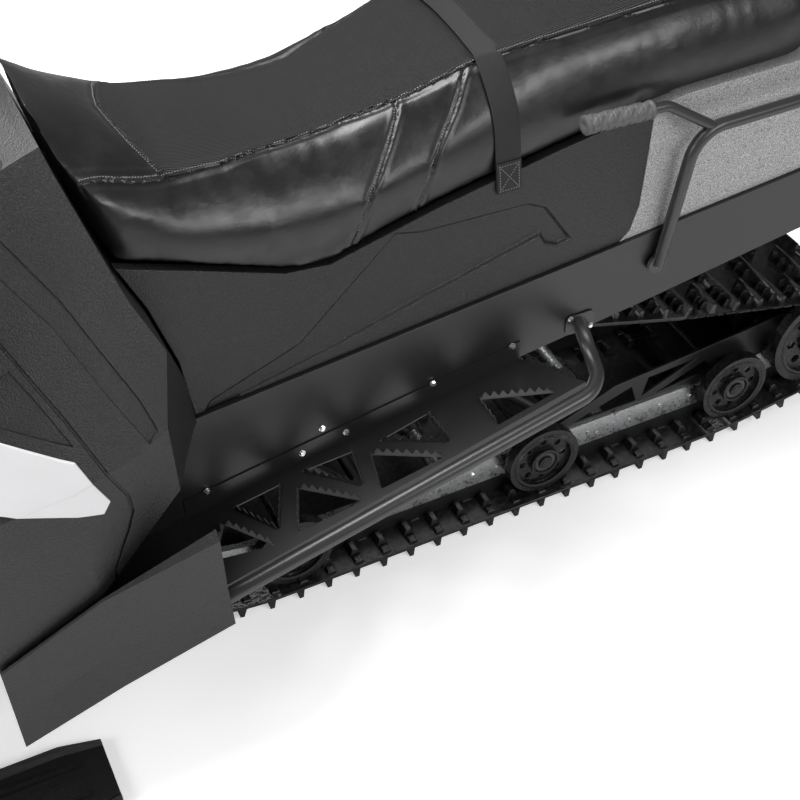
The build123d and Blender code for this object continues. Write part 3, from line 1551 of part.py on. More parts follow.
def both_halves(half):
    """A closed outline from the points of its left half, which starts in the middle of the top."""
    return [half[0]] + [(-y, z) for y, z in half[1:]] + half[:0:-1]


def clear_of_cowl():
    shift = seat_gap / cowl_length
    ahead = [(along - shift, up) for along, up in gap_shares]
    cowl_cut(ahead + [(sky_share, sky_share), (sky_share, ground_share)], Mode.SUBTRACT)


seat_stations = [row[0] for row in seat_shares]
with BuildPart() as seat_cushion:
    cross_sections([(seat_rear_x + seat_length * along, both_halves(seat_half_section(along))) for along in seat_stations])
    clear_of_cowl()
seat_cushion.part.label = "seat_cushion"
export_step(seat_cushion.part, "parts/seat_cushion.step")

# The body under the seat is one form, parted at a slanted line into side panels and a tail.
tail_share = (tail_rear_x - seat_rear_x) / seat_length
panel_shares = [share for share in seat_stations[:-1] if share > 0]


def under_seat(inset):
    stations = []
    for along in [tail_share, 0] + panel_shares:
        x = seat_rear_x + seat_length * along
        low = tunnel_top(x) + fit_gap
        if along > 0:
            high, half = seat_half_section(along)[-1][1] - fit_gap, panel_high_y
        else:
            high = mixed(tail_top_z, rack_z - rack_radius, along / tail_share)
            half = mixed(panel_high_y, tail_half * 0.9, along / tail_share)
        foot = panel_low_y * half / panel_high_y
        stations.append((x, both_halves([(0, high), (half - inset, high), (foot - inset, low)])))
    cross_sections(stations)


# columns: share of the height from the tunnel to the seat, share of the way from the edge's top to its foot
panel_edge_shares = ((2.0, 0.0), (1.0, 0.0), (0.65, 0.12), (0.24, 0.29), (0.05, 0.5), (-0.1, 1.0), (-1.0, 1.0))
panel_edge_low = tunnel_top(panel_rear_x)
panel_edge_high = seat_half_section((panel_rear_x - seat_rear_x) / seat_length)[-1][1]
panel_edge = [
    (mixed(panel_rear_x, panel_foot_x, forward), mixed(panel_edge_low, panel_edge_high, up))
    for up, forward in panel_edge_shares
]


def cut_at_edge(shift, to_x, mode):
    with BuildSketch(Plane.XZ) as region:
        edge = [(x + shift, z) for x, z in panel_edge]
        outline(edge + [(to_x, edge[-1][1]), (to_x, edge[0][1])])
    extrude(region.sketch, amount=panel_low_y + overrun, both=True, mode=mode)


# A field of the shape of a chevron is pressed into each side panel. columns: share of the panel's
# length from its rear edge, share of the height from the tunnel to the seat's edge
relief_shares = (
    (0.935, -0.05),
    (0.915, 0.051),
    (0.735, 0.272),
    (0.531, 0.951),
    (0.483, 0.845),
    (0.268, 0.641),
    (0.235, 0.550),
    (0.190, 0.235),
    (0.205, 0.232),
    (0.228, 0.284),
    (0.239, 0.381),
    (0.683, 0.139),
    (0.862, 0.030),
    (0.880, -0.05),
)
relief_foot_z = tunnel_top(0)
relief_head_z = seat_low_z + seat_height * relief_head_share
relief_lean = (panel_low_y - panel_high_y) / (relief_head_z - relief_foot_z)
relief_plane = Plane(
    origin=(0, panel_low_y - panel_relief_depth, relief_foot_z),
    x_dir=(1, 0, 0),
    z_dir=(0, 1, relief_lean),
)


def on_relief(along, up):
    x = mixed(panel_rear_x, board_front_x, along)
    seat_edge = seat_half_section((x - seat_rear_x) / seat_length)[-1][1]
    z = mixed(tunnel_top(x), seat_edge, up)
    return (x, (relief_foot_z - z) * math.hypot(1, relief_lean))


with BuildPart() as relief_core:
    under_seat(panel_relief_depth)
with BuildPart() as relief_layer:
    under_seat(-overrun)
    add(relief_core.part, mode=Mode.SUBTRACT)
with BuildPart() as left_relief:
    with BuildSketch(relief_plane) as relief_face:
        outline([on_relief(along, up) for along, up in relief_shares])
    extrude(relief_face.sketch, amount=3 * panel_relief_depth, taper=-panel_relief_draft)
with BuildPart() as panel_reliefs:
    add(left_relief.part)
    mirror(left_relief.part, about=Plane.XZ)
    add(relief_layer.part, mode=Mode.INTERSECT)

with BuildPart() as panel_core:
    under_seat(panel_wall)
with BuildPart() as panel_walls:
    under_seat(0)
    add(panel_core.part, mode=Mode.SUBTRACT)
    add(panel_reliefs.part, mode=Mode.SUBTRACT)
    clear_of_cowl()
    cut_at_edge(fit_gap, 2 * tail_rear_x, Mode.SUBTRACT)
for side_name, kept in (("left", Keep.TOP), ("right", Keep.BOTTOM)):
    with BuildPart() as seat_panel:
        add(panel_walls.part)
        split(bisect_by=Plane.XZ.rotated((180, 0, 0)), keep=kept)
    seat_panel.part.label = "seat_panel_" + side_name
    export_step(seat_panel.part, f"parts/seat_panel_{side_name}.step")

with BuildPart() as tail_fairing:
    under_seat(0)
    cut_at_edge(0, seat_front_x, Mode.SUBTRACT)
tail_fairing.part.label = "tail_fairing"
export_step(tail_fairing.part, "parts/tail_fairing.step")


def strap_body(grow):
    stations = []
    for x in (strap_x - strap_width / 2, strap_x + strap_width / 2):
        half = seat_half_section((x - seat_rear_x) / seat_length)[:-1]
        side_y = max(half[-1][0], panel_low_y - (panel_low_y - panel_high_y) / 2)
        half[-1] = (side_y, half[-1][1])
        stations.append((x, grown(both_halves(half + [(side_y, strap_low_z - overrun)]), grow)))
    cross_sections(stations)


with BuildPart() as strap_core:
    strap_body(fit_gap)
with BuildPart() as seat_strap:
    strap_body(fit_gap + strap_sheet)
    add(strap_core.part, mode=Mode.SUBTRACT)
    with BuildSketch(Plane.XY.offset(strap_low_z)) as hem:
        with Locations((strap_x, 0)):
            Rectangle(2 * strap_width, 3 * seat_half)
    extrude(hem.sketch, amount=-seat_height, mode=Mode.SUBTRACT)
seat_strap.part.label = "seat_strap"
export_step(seat_strap.part, "parts/seat_strap.step")

# Rear rack: a bent tube on both sides and across the back, legs, slats, and the stubs of the hand holds.
with BuildPart() as rack:
    rail_half = [
        Vector(rack_foot_x, rack_y, rack_foot_z),
        Vector(rack_front_x, rack_y, rack_z),
        Vector(rack_rear_x + rack_radius, rack_y, rack_z),
    ]
    tube(rail_half + [Vector(p.X, -p.Y, p.Z) for p in reversed(rail_half)], rack_radius, rack_bend)
    for side in (1, -1):
        leg_foot_z = mixed(tunnel_tail_z, tunnel_top(rack_leg_x), 0.6)
        rod((rack_leg_x, side * rack_y, rack_z), (rack_leg_x, side * rack_y, leg_foot_z), rack_radius)
        for x, z in ((rack_foot_x, rack_foot_z), (rack_leg_x, leg_foot_z)):
            with BuildSketch(Plane.XZ.offset(-side * (tunnel_half + fit_gap))) as tab:
                with Locations((x, z)):
                    Circle(rack_tab_radius)
            extrude(tab.sketch, amount=-side * (rack_y - tunnel_half))
        tube(
            [
                (hold_front_x - overrun, side * hold_y, hold_z),
                (hold_rear_x, side * hold_y, hold_rear_z),
                (hold_foot_x, side * rack_y, rack_z),
            ],
            hold_rod_radius,
            rack_bend / 2,
        )
    for number in range(rack_bar_count):
        x = rack_bars_x - rack_bar_pitch * number
        cross_rod(x, rack_z, rack_bar_radius, rack_y, -rack_y)
rack.part.label = "rack"
export_step(rack.part, "parts/rack.step")

hold_front = Vector(hold_front_x, hold_y, hold_z)
hold_way = (Vector(hold_rear_x, hold_y, hold_rear_z) - hold_front).normalized()
with BuildPart() as left_hold:
    with BuildSketch(Plane(origin=hold_front, z_dir=hold_way)) as hold_face:
        Circle(hold_radius)
    extrude(hold_face.sketch, amount=hold_length)
    with BuildSketch(Plane(origin=hold_front + hold_way * (overrun - fit_gap), z_dir=hold_way)) as hold_hole:
        Circle(hold_rod_radius + fit_gap)
    extrude(hold_hole.sketch, amount=hold_length, mode=Mode.SUBTRACT)
with BuildPart() as passenger_grips:
    add(left_hold.part)
    mirror(left_hold.part, about=Plane.XZ)
passenger_grips.part.label = "passenger_grips"
export_step(passenger_grips.part, "parts/passenger_grips.step")

with BuildPart() as tail_lamp:
    with BuildSketch(Plane.YZ.offset(tail_rear_x - fit_gap)) as lamp_back:
        with Locations((0, mixed(tunnel_top(tail_rear_x), rack_z, 0.6))):
            RectangleRounded(lamp_width, lamp_height, lamp_height / 4)
    extrude(lamp_back.sketch, amount=-lamp_depth)
tail_lamp.part.label = "tail_lamp"
export_step(tail_lamp.part, "parts/tail_lamp.step")

flap_top_z = tunnel_top(tunnel_rear_x)
flap_bend_z = mixed(flap_low_z, flap_top_z, 0.87)
flap_front_x = tunnel_rear_x - fit_gap
with BuildPart() as snow_flap:
    side_plate(
        [
            (flap_front_x, flap_top_z),
            (flap_front_x, flap_bend_z),
            (flap_sheet - reach, flap_low_z),
            (-reach, flap_low_z),
            (flap_front_x - flap_sheet, flap_bend_z),
            (flap_front_x - flap_sheet, flap_top_z),
        ],
        flap_width / 2,
        -flap_width / 2,
    )
snow_flap.part.label = "snow_flap"
export_step(snow_flap.part, "parts/snow_flap.step")
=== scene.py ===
import bpy
import math
import numpy as np
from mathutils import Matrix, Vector
from mathutils.bvhtree import BVHTree


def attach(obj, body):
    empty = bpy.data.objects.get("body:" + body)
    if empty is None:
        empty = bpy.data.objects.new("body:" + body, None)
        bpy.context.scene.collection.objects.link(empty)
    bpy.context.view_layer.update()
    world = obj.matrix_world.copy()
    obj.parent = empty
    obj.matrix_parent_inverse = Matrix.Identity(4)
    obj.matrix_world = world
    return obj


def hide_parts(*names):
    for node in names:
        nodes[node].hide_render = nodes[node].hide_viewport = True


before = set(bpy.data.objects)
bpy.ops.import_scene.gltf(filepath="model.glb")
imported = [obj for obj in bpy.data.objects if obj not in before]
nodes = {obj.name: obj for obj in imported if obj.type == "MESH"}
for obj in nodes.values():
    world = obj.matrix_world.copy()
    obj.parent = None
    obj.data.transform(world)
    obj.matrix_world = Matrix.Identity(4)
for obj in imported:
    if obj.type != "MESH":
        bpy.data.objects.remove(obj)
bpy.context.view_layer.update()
scene = bpy.context.scene
print("stage: frame loaded")


# finishes
def principled(name, colour, rough, metal=0.0, coat=0.0, specular=0.5):
    material = bpy.data.materials.new(name)
    material.use_nodes = True
    shader = material.node_tree.nodes["Principled BSDF"]
    shader.inputs["Base Color"].default_value = (*colour, 1.0)
    shader.inputs["Roughness"].default_value = rough
    shader.inputs["Metallic"].default_value = metal
    shader.inputs["Coat Weight"].default_value = coat
    shader.inputs["Coat Roughness"].default_value = 0.12
    shader.inputs["Specular IOR Level"].default_value = specular
    return material


# bumps laid over each other: kind of texture, its scale, strength and depth in metres
def addRelief(material, *layers):
    tree = material.node_tree
    shader = tree.nodes["Principled BSDF"]
    place = tree.nodes.new("ShaderNodeTexCoord")
    below = None
    for kind, scale, strength, depth in layers:
        if kind == "noise":
            texture = tree.nodes.new("ShaderNodeTexNoise")
            texture.inputs["Detail"].default_value = 2.0
            height = texture.outputs["Fac"]
        elif kind == "cells":
            texture = tree.nodes.new("ShaderNodeTexVoronoi")
            height = texture.outputs["Distance"]
        else:
            texture = tree.nodes.new("ShaderNodeTexWave")
            texture.bands_direction = kind
            height = texture.outputs["Fac"]
        texture.inputs["Scale"].default_value = scale
        tree.links.new(place.outputs["Object"], texture.inputs["Vector"])
        bump = tree.nodes.new("ShaderNodeBump")
        bump.inputs["Strength"].default_value = strength
        bump.inputs["Distance"].default_value = depth
        tree.links.new(height, bump.inputs["Height"])
        if below:
            tree.links.new(below, bump.inputs["Normal"])
        below = bump.outputs["Normal"]
    tree.links.new(below, shader.inputs["Normal"])
    return material


# colour or roughness that varies between two values in small patches
def addMottle(material, socket, scale, dark, light, low=0.4, high=0.6, detail=3.0):
    tree = material.node_tree
    shader = tree.nodes["Principled BSDF"]
    place = tree.nodes.new("ShaderNodeTexCoord")
    texture = tree.nodes.new("ShaderNodeTexNoise")
    texture.inputs["Scale"].default_value = scale
    texture.inputs["Detail"].default_value = detail
    tree.links.new(place.outputs["Object"], texture.inputs["Vector"])
    ramp = tree.nodes.new("ShaderNodeValToRGB")
    ramp.color_ramp.elements[0].position = low
    ramp.color_ramp.elements[1].position = high
    ramp.color_ramp.elements[0].color = (*dark, 1.0)
    ramp.color_ramp.elements[1].color = (*light, 1.0)
    tree.links.new(texture.outputs["Fac"], ramp.inputs["Fac"])
    tree.links.new(ramp.outputs["Color"], shader.inputs[socket])
    return material


def mouldedPlastic(name, shade, rough, coarse=300.0):
    material = principled(name, (shade, shade, shade * 1.03), rough, specular=0.42)
    addRelief(material, ("noise", coarse, 0.8, 0.0013), ("cells", coarse * 1.9, 0.5, 0.0007))
    addMottle(material, "Base Color", coarse * 0.8, (shade * 0.75,) * 3, (shade * 1.5,) * 3, 0.42, 0.62)
    return material


bodyPlastic = mouldedPlastic("body plastic", 0.008, 0.42)
panelPlastic = mouldedPlastic("panel plastic", 0.009, 0.36)
wellPlastic = mouldedPlastic("well plastic", 0.008, 0.44)
hardPlastic = mouldedPlastic("hard plastic", 0.008, 0.42, 600.0)
wheelPlastic = principled("wheel plastic", (0.008, 0.008, 0.008), 0.3)
addRelief(wheelPlastic, ("noise", 160.0, 0.25, 0.0008))
addMottle(wheelPlastic, "Roughness", 60.0, (0.2,) * 3, (0.5,) * 3)
darkPaint = addRelief(principled("dark paint", (0.009, 0.009, 0.0095), 0.36), ("noise", 900.0, 0.3, 0.0005))
tubePaint = addRelief(principled("tube paint", (0.022, 0.022, 0.023), 0.34), ("noise", 900.0, 0.25, 0.0004))
silverPaint = principled("silver paint", (0.30, 0.30, 0.31), 0.5, 0.25)
addRelief(silverPaint, ("noise", 700.0, 0.6, 0.001))
addMottle(silverPaint, "Base Color", 520.0, (0.16,) * 3, (0.44,) * 3, 0.4, 0.6)
paleTrim = principled("pale trim", (0.62, 0.62, 0.63), 0.3, 0.1, 0.4)
addRelief(paleTrim, ("noise", 14.0, 0.25, 0.004), ("noise", 500.0, 0.15, 0.0003))
trackRubber = addMottle(addRelief(principled("track rubber", (0.008, 0.008, 0.008), 0.4),
                                  ("noise", 120.0, 0.5, 0.002), ("noise", 600.0, 0.3, 0.0006)),
                        "Base Color", 90.0, (0.005,) * 3, (0.02,) * 3, 0.45, 0.65)
gripRubber = addRelief(principled("grip rubber", (0.075, 0.075, 0.075), 0.55), ("noise", 700.0, 0.3, 0.0004))
railAlloy = principled("rail alloy", (0.66, 0.67, 0.68), 0.3, 1.0)
addRelief(railAlloy, ("noise", 300.0, 0.2, 0.0004))
addMottle(railAlloy, "Roughness", 120.0, (0.26,) * 3, (0.4,) * 3)
steel = principled("steel", (0.42, 0.42, 0.43), 0.3, 1.0)
darkSteel = addRelief(principled("dark steel", (0.09, 0.09, 0.09), 0.32, 0.8), ("noise", 500.0, 0.2, 0.0004))
boltSteel = principled("bolt steel", (0.72, 0.72, 0.73), 0.2, 1.0)
addMottle(boltSteel, "Roughness", 300.0, (0.12,) * 3, (0.35,) * 3)
seatVinyl = addMottle(addRelief(principled("seat vinyl", (0.005, 0.005, 0.0055), 0.36, coat=0.06),
                                ("cells", 620.0, 0.22, 0.0005), ("noise", 60.0, 0.2, 0.003)),
                      "Roughness", 25.0, (0.33,) * 3, (0.42,) * 3)
seatKnit = addRelief(principled("seat knit", (0.02, 0.02, 0.021), 0.62),
                     ("X", 92.0, 1.0, 0.004), ("Y", 92.0, 1.0, 0.004), ("noise", 900.0, 0.4, 0.0006))
thread = addRelief(principled("thread", (0.16, 0.16, 0.165), 0.5), ("noise", 1800.0, 0.4, 0.0003))
webbing = addRelief(principled("webbing", (0.009, 0.009, 0.009), 0.6),
                    ("X", 210.0, 0.8, 0.0008), ("noise", 1100.0, 0.6, 0.0008))
shieldGlass = principled("shield glass", (0.04, 0.045, 0.05), 0.06)
shieldGlass.node_tree.nodes["Principled BSDF"].inputs["Alpha"].default_value = 0.45
lampGlass = addRelief(principled("lamp glass", (0.6, 0.62, 0.65), 0.08, 0.2, 0.6), ("Y", 40.0, 0.5, 0.002))
tailRed = addRelief(principled("tail red", (0.35, 0.01, 0.01), 0.15, 0.0, 0.6), ("Y", 60.0, 0.5, 0.002))
castBlock = addRelief(principled("cast block", (0.07, 0.07, 0.075), 0.55, 0.5), ("noise", 200.0, 0.5, 0.0015))

finishes = {
    "track": trackRubber, "sliders": hardPlastic, "slide_rails": railAlloy, "rail_plates": darkPaint,
    "bogie_wheels": wheelPlastic, "rear_axle": wheelPlastic, "drive_axle": wheelPlastic,
    "carrier_axle": wheelPlastic,
    "swing_arms": darkPaint, "track_shocks": steel, "tunnel": darkPaint, "footboard_left": darkPaint,
    "footboard_right": darkPaint, "board_tubes": tubePaint, "foot_well_left": wellPlastic,
    "foot_well_right": wellPlastic, "console": bodyPlastic, "hood": bodyPlastic, "side_panel_left": bodyPlastic,
    "side_panel_right": bodyPlastic, "side_trims": paleTrim, "headlamps": lampGlass, "bulkhead": darkPaint,
    "engine": castBlock, "front_arms": tubePaint, "ski_shocks": steel, "ski_left": hardPlastic,
    "spindle_left": steel, "tie_rod_left": steel, "ski_right": hardPlastic, "spindle_right": steel,
    "tie_rod_right": steel, "steering_arm": steel, "windshield": shieldGlass, "dash": hardPlastic,
    "handlebar": tubePaint, "hand_grips": gripRubber, "hand_levers": hardPlastic, "belly_pan": hardPlastic,
    "front_bumper": tubePaint, "seat_cushion": seatVinyl, "seat_panel_left": panelPlastic,
    "seat_panel_right": panelPlastic, "tail_fairing": silverPaint, "seat_strap": webbing, "rack": tubePaint,
    "passenger_grips": gripRubber, "tail_lamp": tailRed, "snow_flap": hardPlastic,
}
# width of each node's rounded edges, in metres
edges = {
    "console": 0.012, "hood": 0.014, "side_panel_left": 0.010, "side_panel_right": 0.010, "side_trims": 0.003,
    "seat_panel_left": 0.005, "seat_panel_right": 0.005, "tail_fairing": 0.012, "foot_well_left": 0.005,
    "foot_well_right": 0.005, "dash": 0.012, "engine": 0.01, "tunnel": 0.0014, "footboard_left": 0.0009,
    "footboard_right": 0.0009, "rail_plates": 0.0009, "bogie_wheels": 0.0018, "rear_axle": 0.0018,
    "windshield": 0.0015, "snow_flap": 0.0015, "tail_lamp": 0.004, "headlamps": 0.001, "ski_left": 0.003,
    "ski_right": 0.003, "bulkhead": 0.001, "belly_pan": 0.002, "slide_rails": 0.0015, "hand_levers": 0.002,
}


# the frame's meshes are split at every edge, so they are joined before the edges are rounded
def softenEdges(obj, width, angle=22.0, segments=3):
    if "custom_normal" in obj.data.attributes:
        obj.data.attributes.remove(obj.data.attributes["custom_normal"])
    weld = obj.modifiers.new("join", "WELD")
    weld.merge_threshold = 0.00001
    flatten = obj.modifiers.new("flat faces", "DECIMATE")
    flatten.decimate_type = "DISSOLVE"
    flatten.angle_limit = math.radians(0.5)
    if width:
        bevel = obj.modifiers.new("edge", "BEVEL")
        bevel.width = width
        bevel.segments = segments
        bevel.limit_method = "ANGLE"
        bevel.angle_limit = math.radians(angle)
        bevel.harden_normals = False
    for face in obj.data.polygons:
        face.use_smooth = True
    obj.data.set_sharp_from_angle(angle=math.radians(angle))
    weighted = obj.modifiers.new("even faces", "WEIGHTED_NORMAL")
    weighted.keep_sharp = True
    weighted.weight = 100


for name, material in finishes.items():
    node = nodes[name]
    node.data.materials.clear()
    node.data.materials.append(material)
    softenEdges(node, edges.get(name, 0.0))
print("stage: finishes")


# helpers for the pieces that are made here
def mesh(name, vertices, faces, material=None, body="chassis"):
    data = bpy.data.meshes.new(name)
    data.from_pydata([tuple(v) for v in vertices], [], faces)
    data.update()
    obj = bpy.data.objects.new(name, data)
    scene.collection.objects.link(obj)
    if material:
        data.materials.append(material)
    if body:
        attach(obj, body)
    return obj


def smoothShade(obj, angle=30.0):
    for face in obj.data.polygons:
        face.use_smooth = True
    obj.data.set_sharp_from_angle(angle=math.radians(angle))


def bakeModifiers(obj):
    shaped = obj.evaluated_get(bpy.context.evaluated_depsgraph_get())
    data = bpy.data.meshes.new_from_object(shaped)
    obj.modifiers.clear()
    obj.data = data


def surfaceTree(*objs):
    vertices, faces = [], []
    for obj in objs:
        start = len(vertices)
        vertices += [obj.matrix_world @ v.co for v in obj.data.vertices]
        faces += [tuple(start + i for i in p.vertices) for p in obj.data.polygons]
    return BVHTree.FromPolygons(vertices, faces)


# points at an even pitch along a line of points, each with the direction there
def alongLine(points, pitch):
    points = [Vector(p) for p in points]
    lengths = [(b - a).length for a, b in zip(points, points[1:])]
    total = sum(lengths)
    count = max(2, round(total / pitch))
    places = []
    for number in range(count + 1):
        left = total * number / count
        for a, b, length in zip(points, points[1:], lengths):
            if left <= length + 1e-9 and length > 0:
                places.append((a.lerp(b, min(1.0, left / length)), (b - a).normalized()))
                break
            left -= length
    return places


def interpolate(table, value):
    if value <= table[0][0]:
        return table[0][1]
    for (a, low), (b, high) in zip(table, table[1:]):
        if value <= b:
            return low + (high - low) * (value - a) / (b - a)
    return table[-1][1]


def onRing(centre, side, up, turn, radius):
    return centre + (side * math.cos(turn) + up * math.sin(turn)) * radius


# a turned form, whose profile gives distances along the axis and radii
def lathe(profile, origin, axis, count=24, closed=False):
    axis = Vector(axis).normalized()
    side = axis.orthogonal().normalized()
    up = axis.cross(side)
    vertices, faces = [], []
    for along, radius in profile:
        for k in range(count):
            turn = 2 * math.pi * k / count
            vertices.append(onRing(Vector(origin) + axis * along, side, up, turn, radius))
    for ring in range(len(profile) - 1):
        for k in range(count):
            a, b = ring * count + k, ring * count + (k + 1) % count
            faces.append((a, b, b + count, a + count))
    if closed:
        faces.append(tuple(reversed(range(count))))
        faces.append(tuple(range((len(profile) - 1) * count, len(profile) * count)))
    return vertices, faces


def gather(parts):
    vertices, faces = [], []
    for partVertices, partFaces in parts:
        start = len(vertices)
        vertices += partVertices
        faces += [tuple(start + i for i in face) for face in partFaces]
    return vertices, faces


def tubeAlong(points, radius, count=10, closed=False):
    points = [Vector(p) for p in points]
    vertices, faces = [], []
    side = None
    for index, point in enumerate(points):
        before = points[max(0, index - 1)] if not closed else points[index - 1]
        after = points[min(len(points) - 1, index + 1)] if not closed else points[(index + 1) % len(points)]
        way = (after - before).normalized()
        side = way.orthogonal() if side is None else side - way * side.dot(way)
        side.normalize()
        up = way.cross(side)
        for k in range(count):
            turn = 2 * math.pi * k / count
            vertices.append(point + (side * math.cos(turn) + up * math.sin(turn)) * radius)
    rings = len(points) if closed else len(points) - 1
    for ring in range(rings):
        low, high = ring * count, ((ring + 1) % len(points)) * count
        for k in range(count):
            faces.append((low + k, low + (k + 1) % count, high + (k + 1) % count, high + k))
    if not closed:
        faces.append(tuple(reversed(range(count))))
        faces.append(tuple(range((len(points) - 1) * count, len(points) * count)))
    return vertices, faces


# seat cushion
seat = {
    "voxel": 0.0083, "shrink": 0.006, "rounding": 26, "pressure": 4.0, "frames": 20, "cap": 0.011,
    # X and distance from the middle of the seam between top and bolsters
    "sideSeam": ((-0.97, 0.186), (-0.70, 0.186), (-0.45, 0.176), (-0.28, 0.160), (-0.136, 0.141), (-0.101, 0.134),
                 (-0.067, 0.125), (-0.028, 0.127), (0.010, 0.130), (0.084, 0.135), (0.122, 0.143), (0.161, 0.155),
                 (0.197, 0.158), (0.233, 0.162), (0.268, 0.169), (0.302, 0.176), (0.335, 0.181), (0.366, 0.185),
                 (0.398, 0.193), (0.47, 0.20)),
    # distance from the middle and X of the seam between knit and the vinyl nose
    "frontSeam": ((0.0, 0.311), (0.043, 0.305), (0.074, 0.298), (0.107, 0.291), (0.137, 0.279), (0.158, 0.268),
                  (0.175, 0.255)),
    # Z and X of the seams across the bolsters
    "crossSeams": (
        ((0.84, -0.030), (0.870, -0.044), (0.907, -0.058), (0.936, -0.070), (0.960, -0.092), (0.979, -0.108),
         (0.996, -0.124), (1.017, -0.141), (1.032, -0.154), (1.049, -0.165), (1.10, -0.20)),
        ((0.86, -0.155), (0.902, -0.169), (0.931, -0.180), (0.963, -0.191), (0.986, -0.208), (1.008, -0.227),
         (1.024, -0.243), (1.041, -0.257), (1.10, -0.30)),
    ),
    "snap": 0.0026, "groove": 0.0026, "lip": 0.0045, "lipWidth": 0.013,
    # half widths that are held at the seams while the pad swells
    "sideHold": 0.008, "frontHold": 0.007, "crossHold": 0.006,
    # how far the cover stands up beside each seam, and over which width
    "sideSwell": (0.0022, 0.02), "frontSwell": (0.0012, 0.012), "crossSwell": (0.0014, 0.014),
    "pucker": 0.0003, "puckerWidth": 0.07, "seamFront": 0.46, "knitRear": -0.93,
}


def padFromSolid(source, name, voxel, shrink, rounding):
    data = source.data.copy()
    data.transform(source.matrix_world)
    pad = bpy.data.objects.new(name, data)
    scene.collection.objects.link(pad)
    remesh = pad.modifiers.new("voxels", "REMESH")
    remesh.mode = "VOXEL"
    remesh.voxel_size = voxel
    bakeModifiers(pad)
    count = len(pad.data.vertices)
    places = np.empty(count * 3)
    pad.data.vertices.foreach_get("co", places)
    places = places.reshape(-1, 3)
    normals = np.array([v.normal[:] for v in pad.data.vertices])
    pairs = np.empty(len(pad.data.edges) * 2, dtype=int)
    pad.data.edges.foreach_get("vertices", pairs)
    pairs = pairs.reshape(-1, 2)
    degree = np.bincount(pairs.ravel(), minlength=count).reshape(-1, 1)
    low = places[:, 2].copy()
    free = np.where(normals[:, 2] < -0.6, 0.0, 1.0).reshape(-1, 1)
    for _ in range(rounding):
        total = np.zeros_like(places)
        np.add.at(total, pairs[:, 0], places[pairs[:, 1]])
        np.add.at(total, pairs[:, 1], places[pairs[:, 0]])
        places += 0.5 * free * (total / degree - places)
    places -= normals * shrink * np.clip((places[:, 2:3] - low.min()) / 0.02, 0.2, 1.0)
    pad.data.vertices.foreach_set("co", places.ravel())
    pad.data.update()
    return pad


def inflate(pad, pressure, frames, cap, pinned):
    before = np.array([v.co[:] for v in pad.data.vertices])
    group = pad.vertex_groups.new(name="held")
    group.add([v.index for v in pad.data.vertices if pinned(v)], 1.0, "REPLACE")
    cloth = pad.modifiers.new("inflate", "CLOTH")
    cloth.settings.vertex_group_mass = "held"
    cloth.settings.quality = 4
    cloth.settings.use_pressure = True
    cloth.settings.uniform_pressure_force = pressure
    cloth.settings.effector_weights.gravity = 0.0
    cloth.settings.tension_stiffness = 8.0
    cloth.settings.compression_stiffness = 8.0
    cloth.settings.bending_stiffness = 0.4
    for number in range(1, frames + 1):
        scene.frame_set(number)
    bakeModifiers(pad)
    after = np.array([v.co[:] for v in pad.data.vertices])
    move = after - before
    size = np.linalg.norm(move, axis=1, keepdims=True)
    move *= np.minimum(1.0, cap / np.maximum(size, 1e-9))
    pad.data.vertices.foreach_set("co", (before + move).ravel())
    pad.data.update()
    pad.vertex_groups.clear()
    scene.frame_set(1)


# how far a point lies outside the side seam, seen from above
def seamOffset(x, y):
    return abs(y) - interpolate(seat["sideSeam"], x)


seatPad = padFromSolid(nodes["seat_cushion"], "seatPad", seat["voxel"], seat["shrink"], seat["rounding"])


def seatPinned(vertex):
    x, y, z = vertex.co
    offset = seamOffset(x, y)
    ahead = abs(x - interpolate(seat["frontSeam"], abs(y)))
    crossing = min(abs(x - interpolate(table, z)) for table in seat["crossSeams"])
    onSideSeam = abs(offset) < seat["sideHold"] and vertex.normal.z > 0.1
    onFrontSeam = ahead < seat["frontHold"] and offset < 0 and vertex.normal.z > 0.3
    onCross = offset > 0 and crossing < seat["crossHold"]
    return vertex.normal.z < -0.6 or onSideSeam or onFrontSeam or onCross


inflate(seatPad, seat["pressure"], seat["frames"], seat["cap"], seatPinned)
calm = seatPad.modifiers.new("calm", "SMOOTH")
calm.factor = 0.5
calm.iterations = 9
subdivide = seatPad.modifiers.new("finer", "SUBSURF")
subdivide.levels = 1
bakeModifiers(seatPad)
print("stage: seat inflated")


# rise of the cover beside a seam
def swell(shape, distance):
    height, width = shape
    return height * math.sin(math.pi * min(1.0, distance / width))


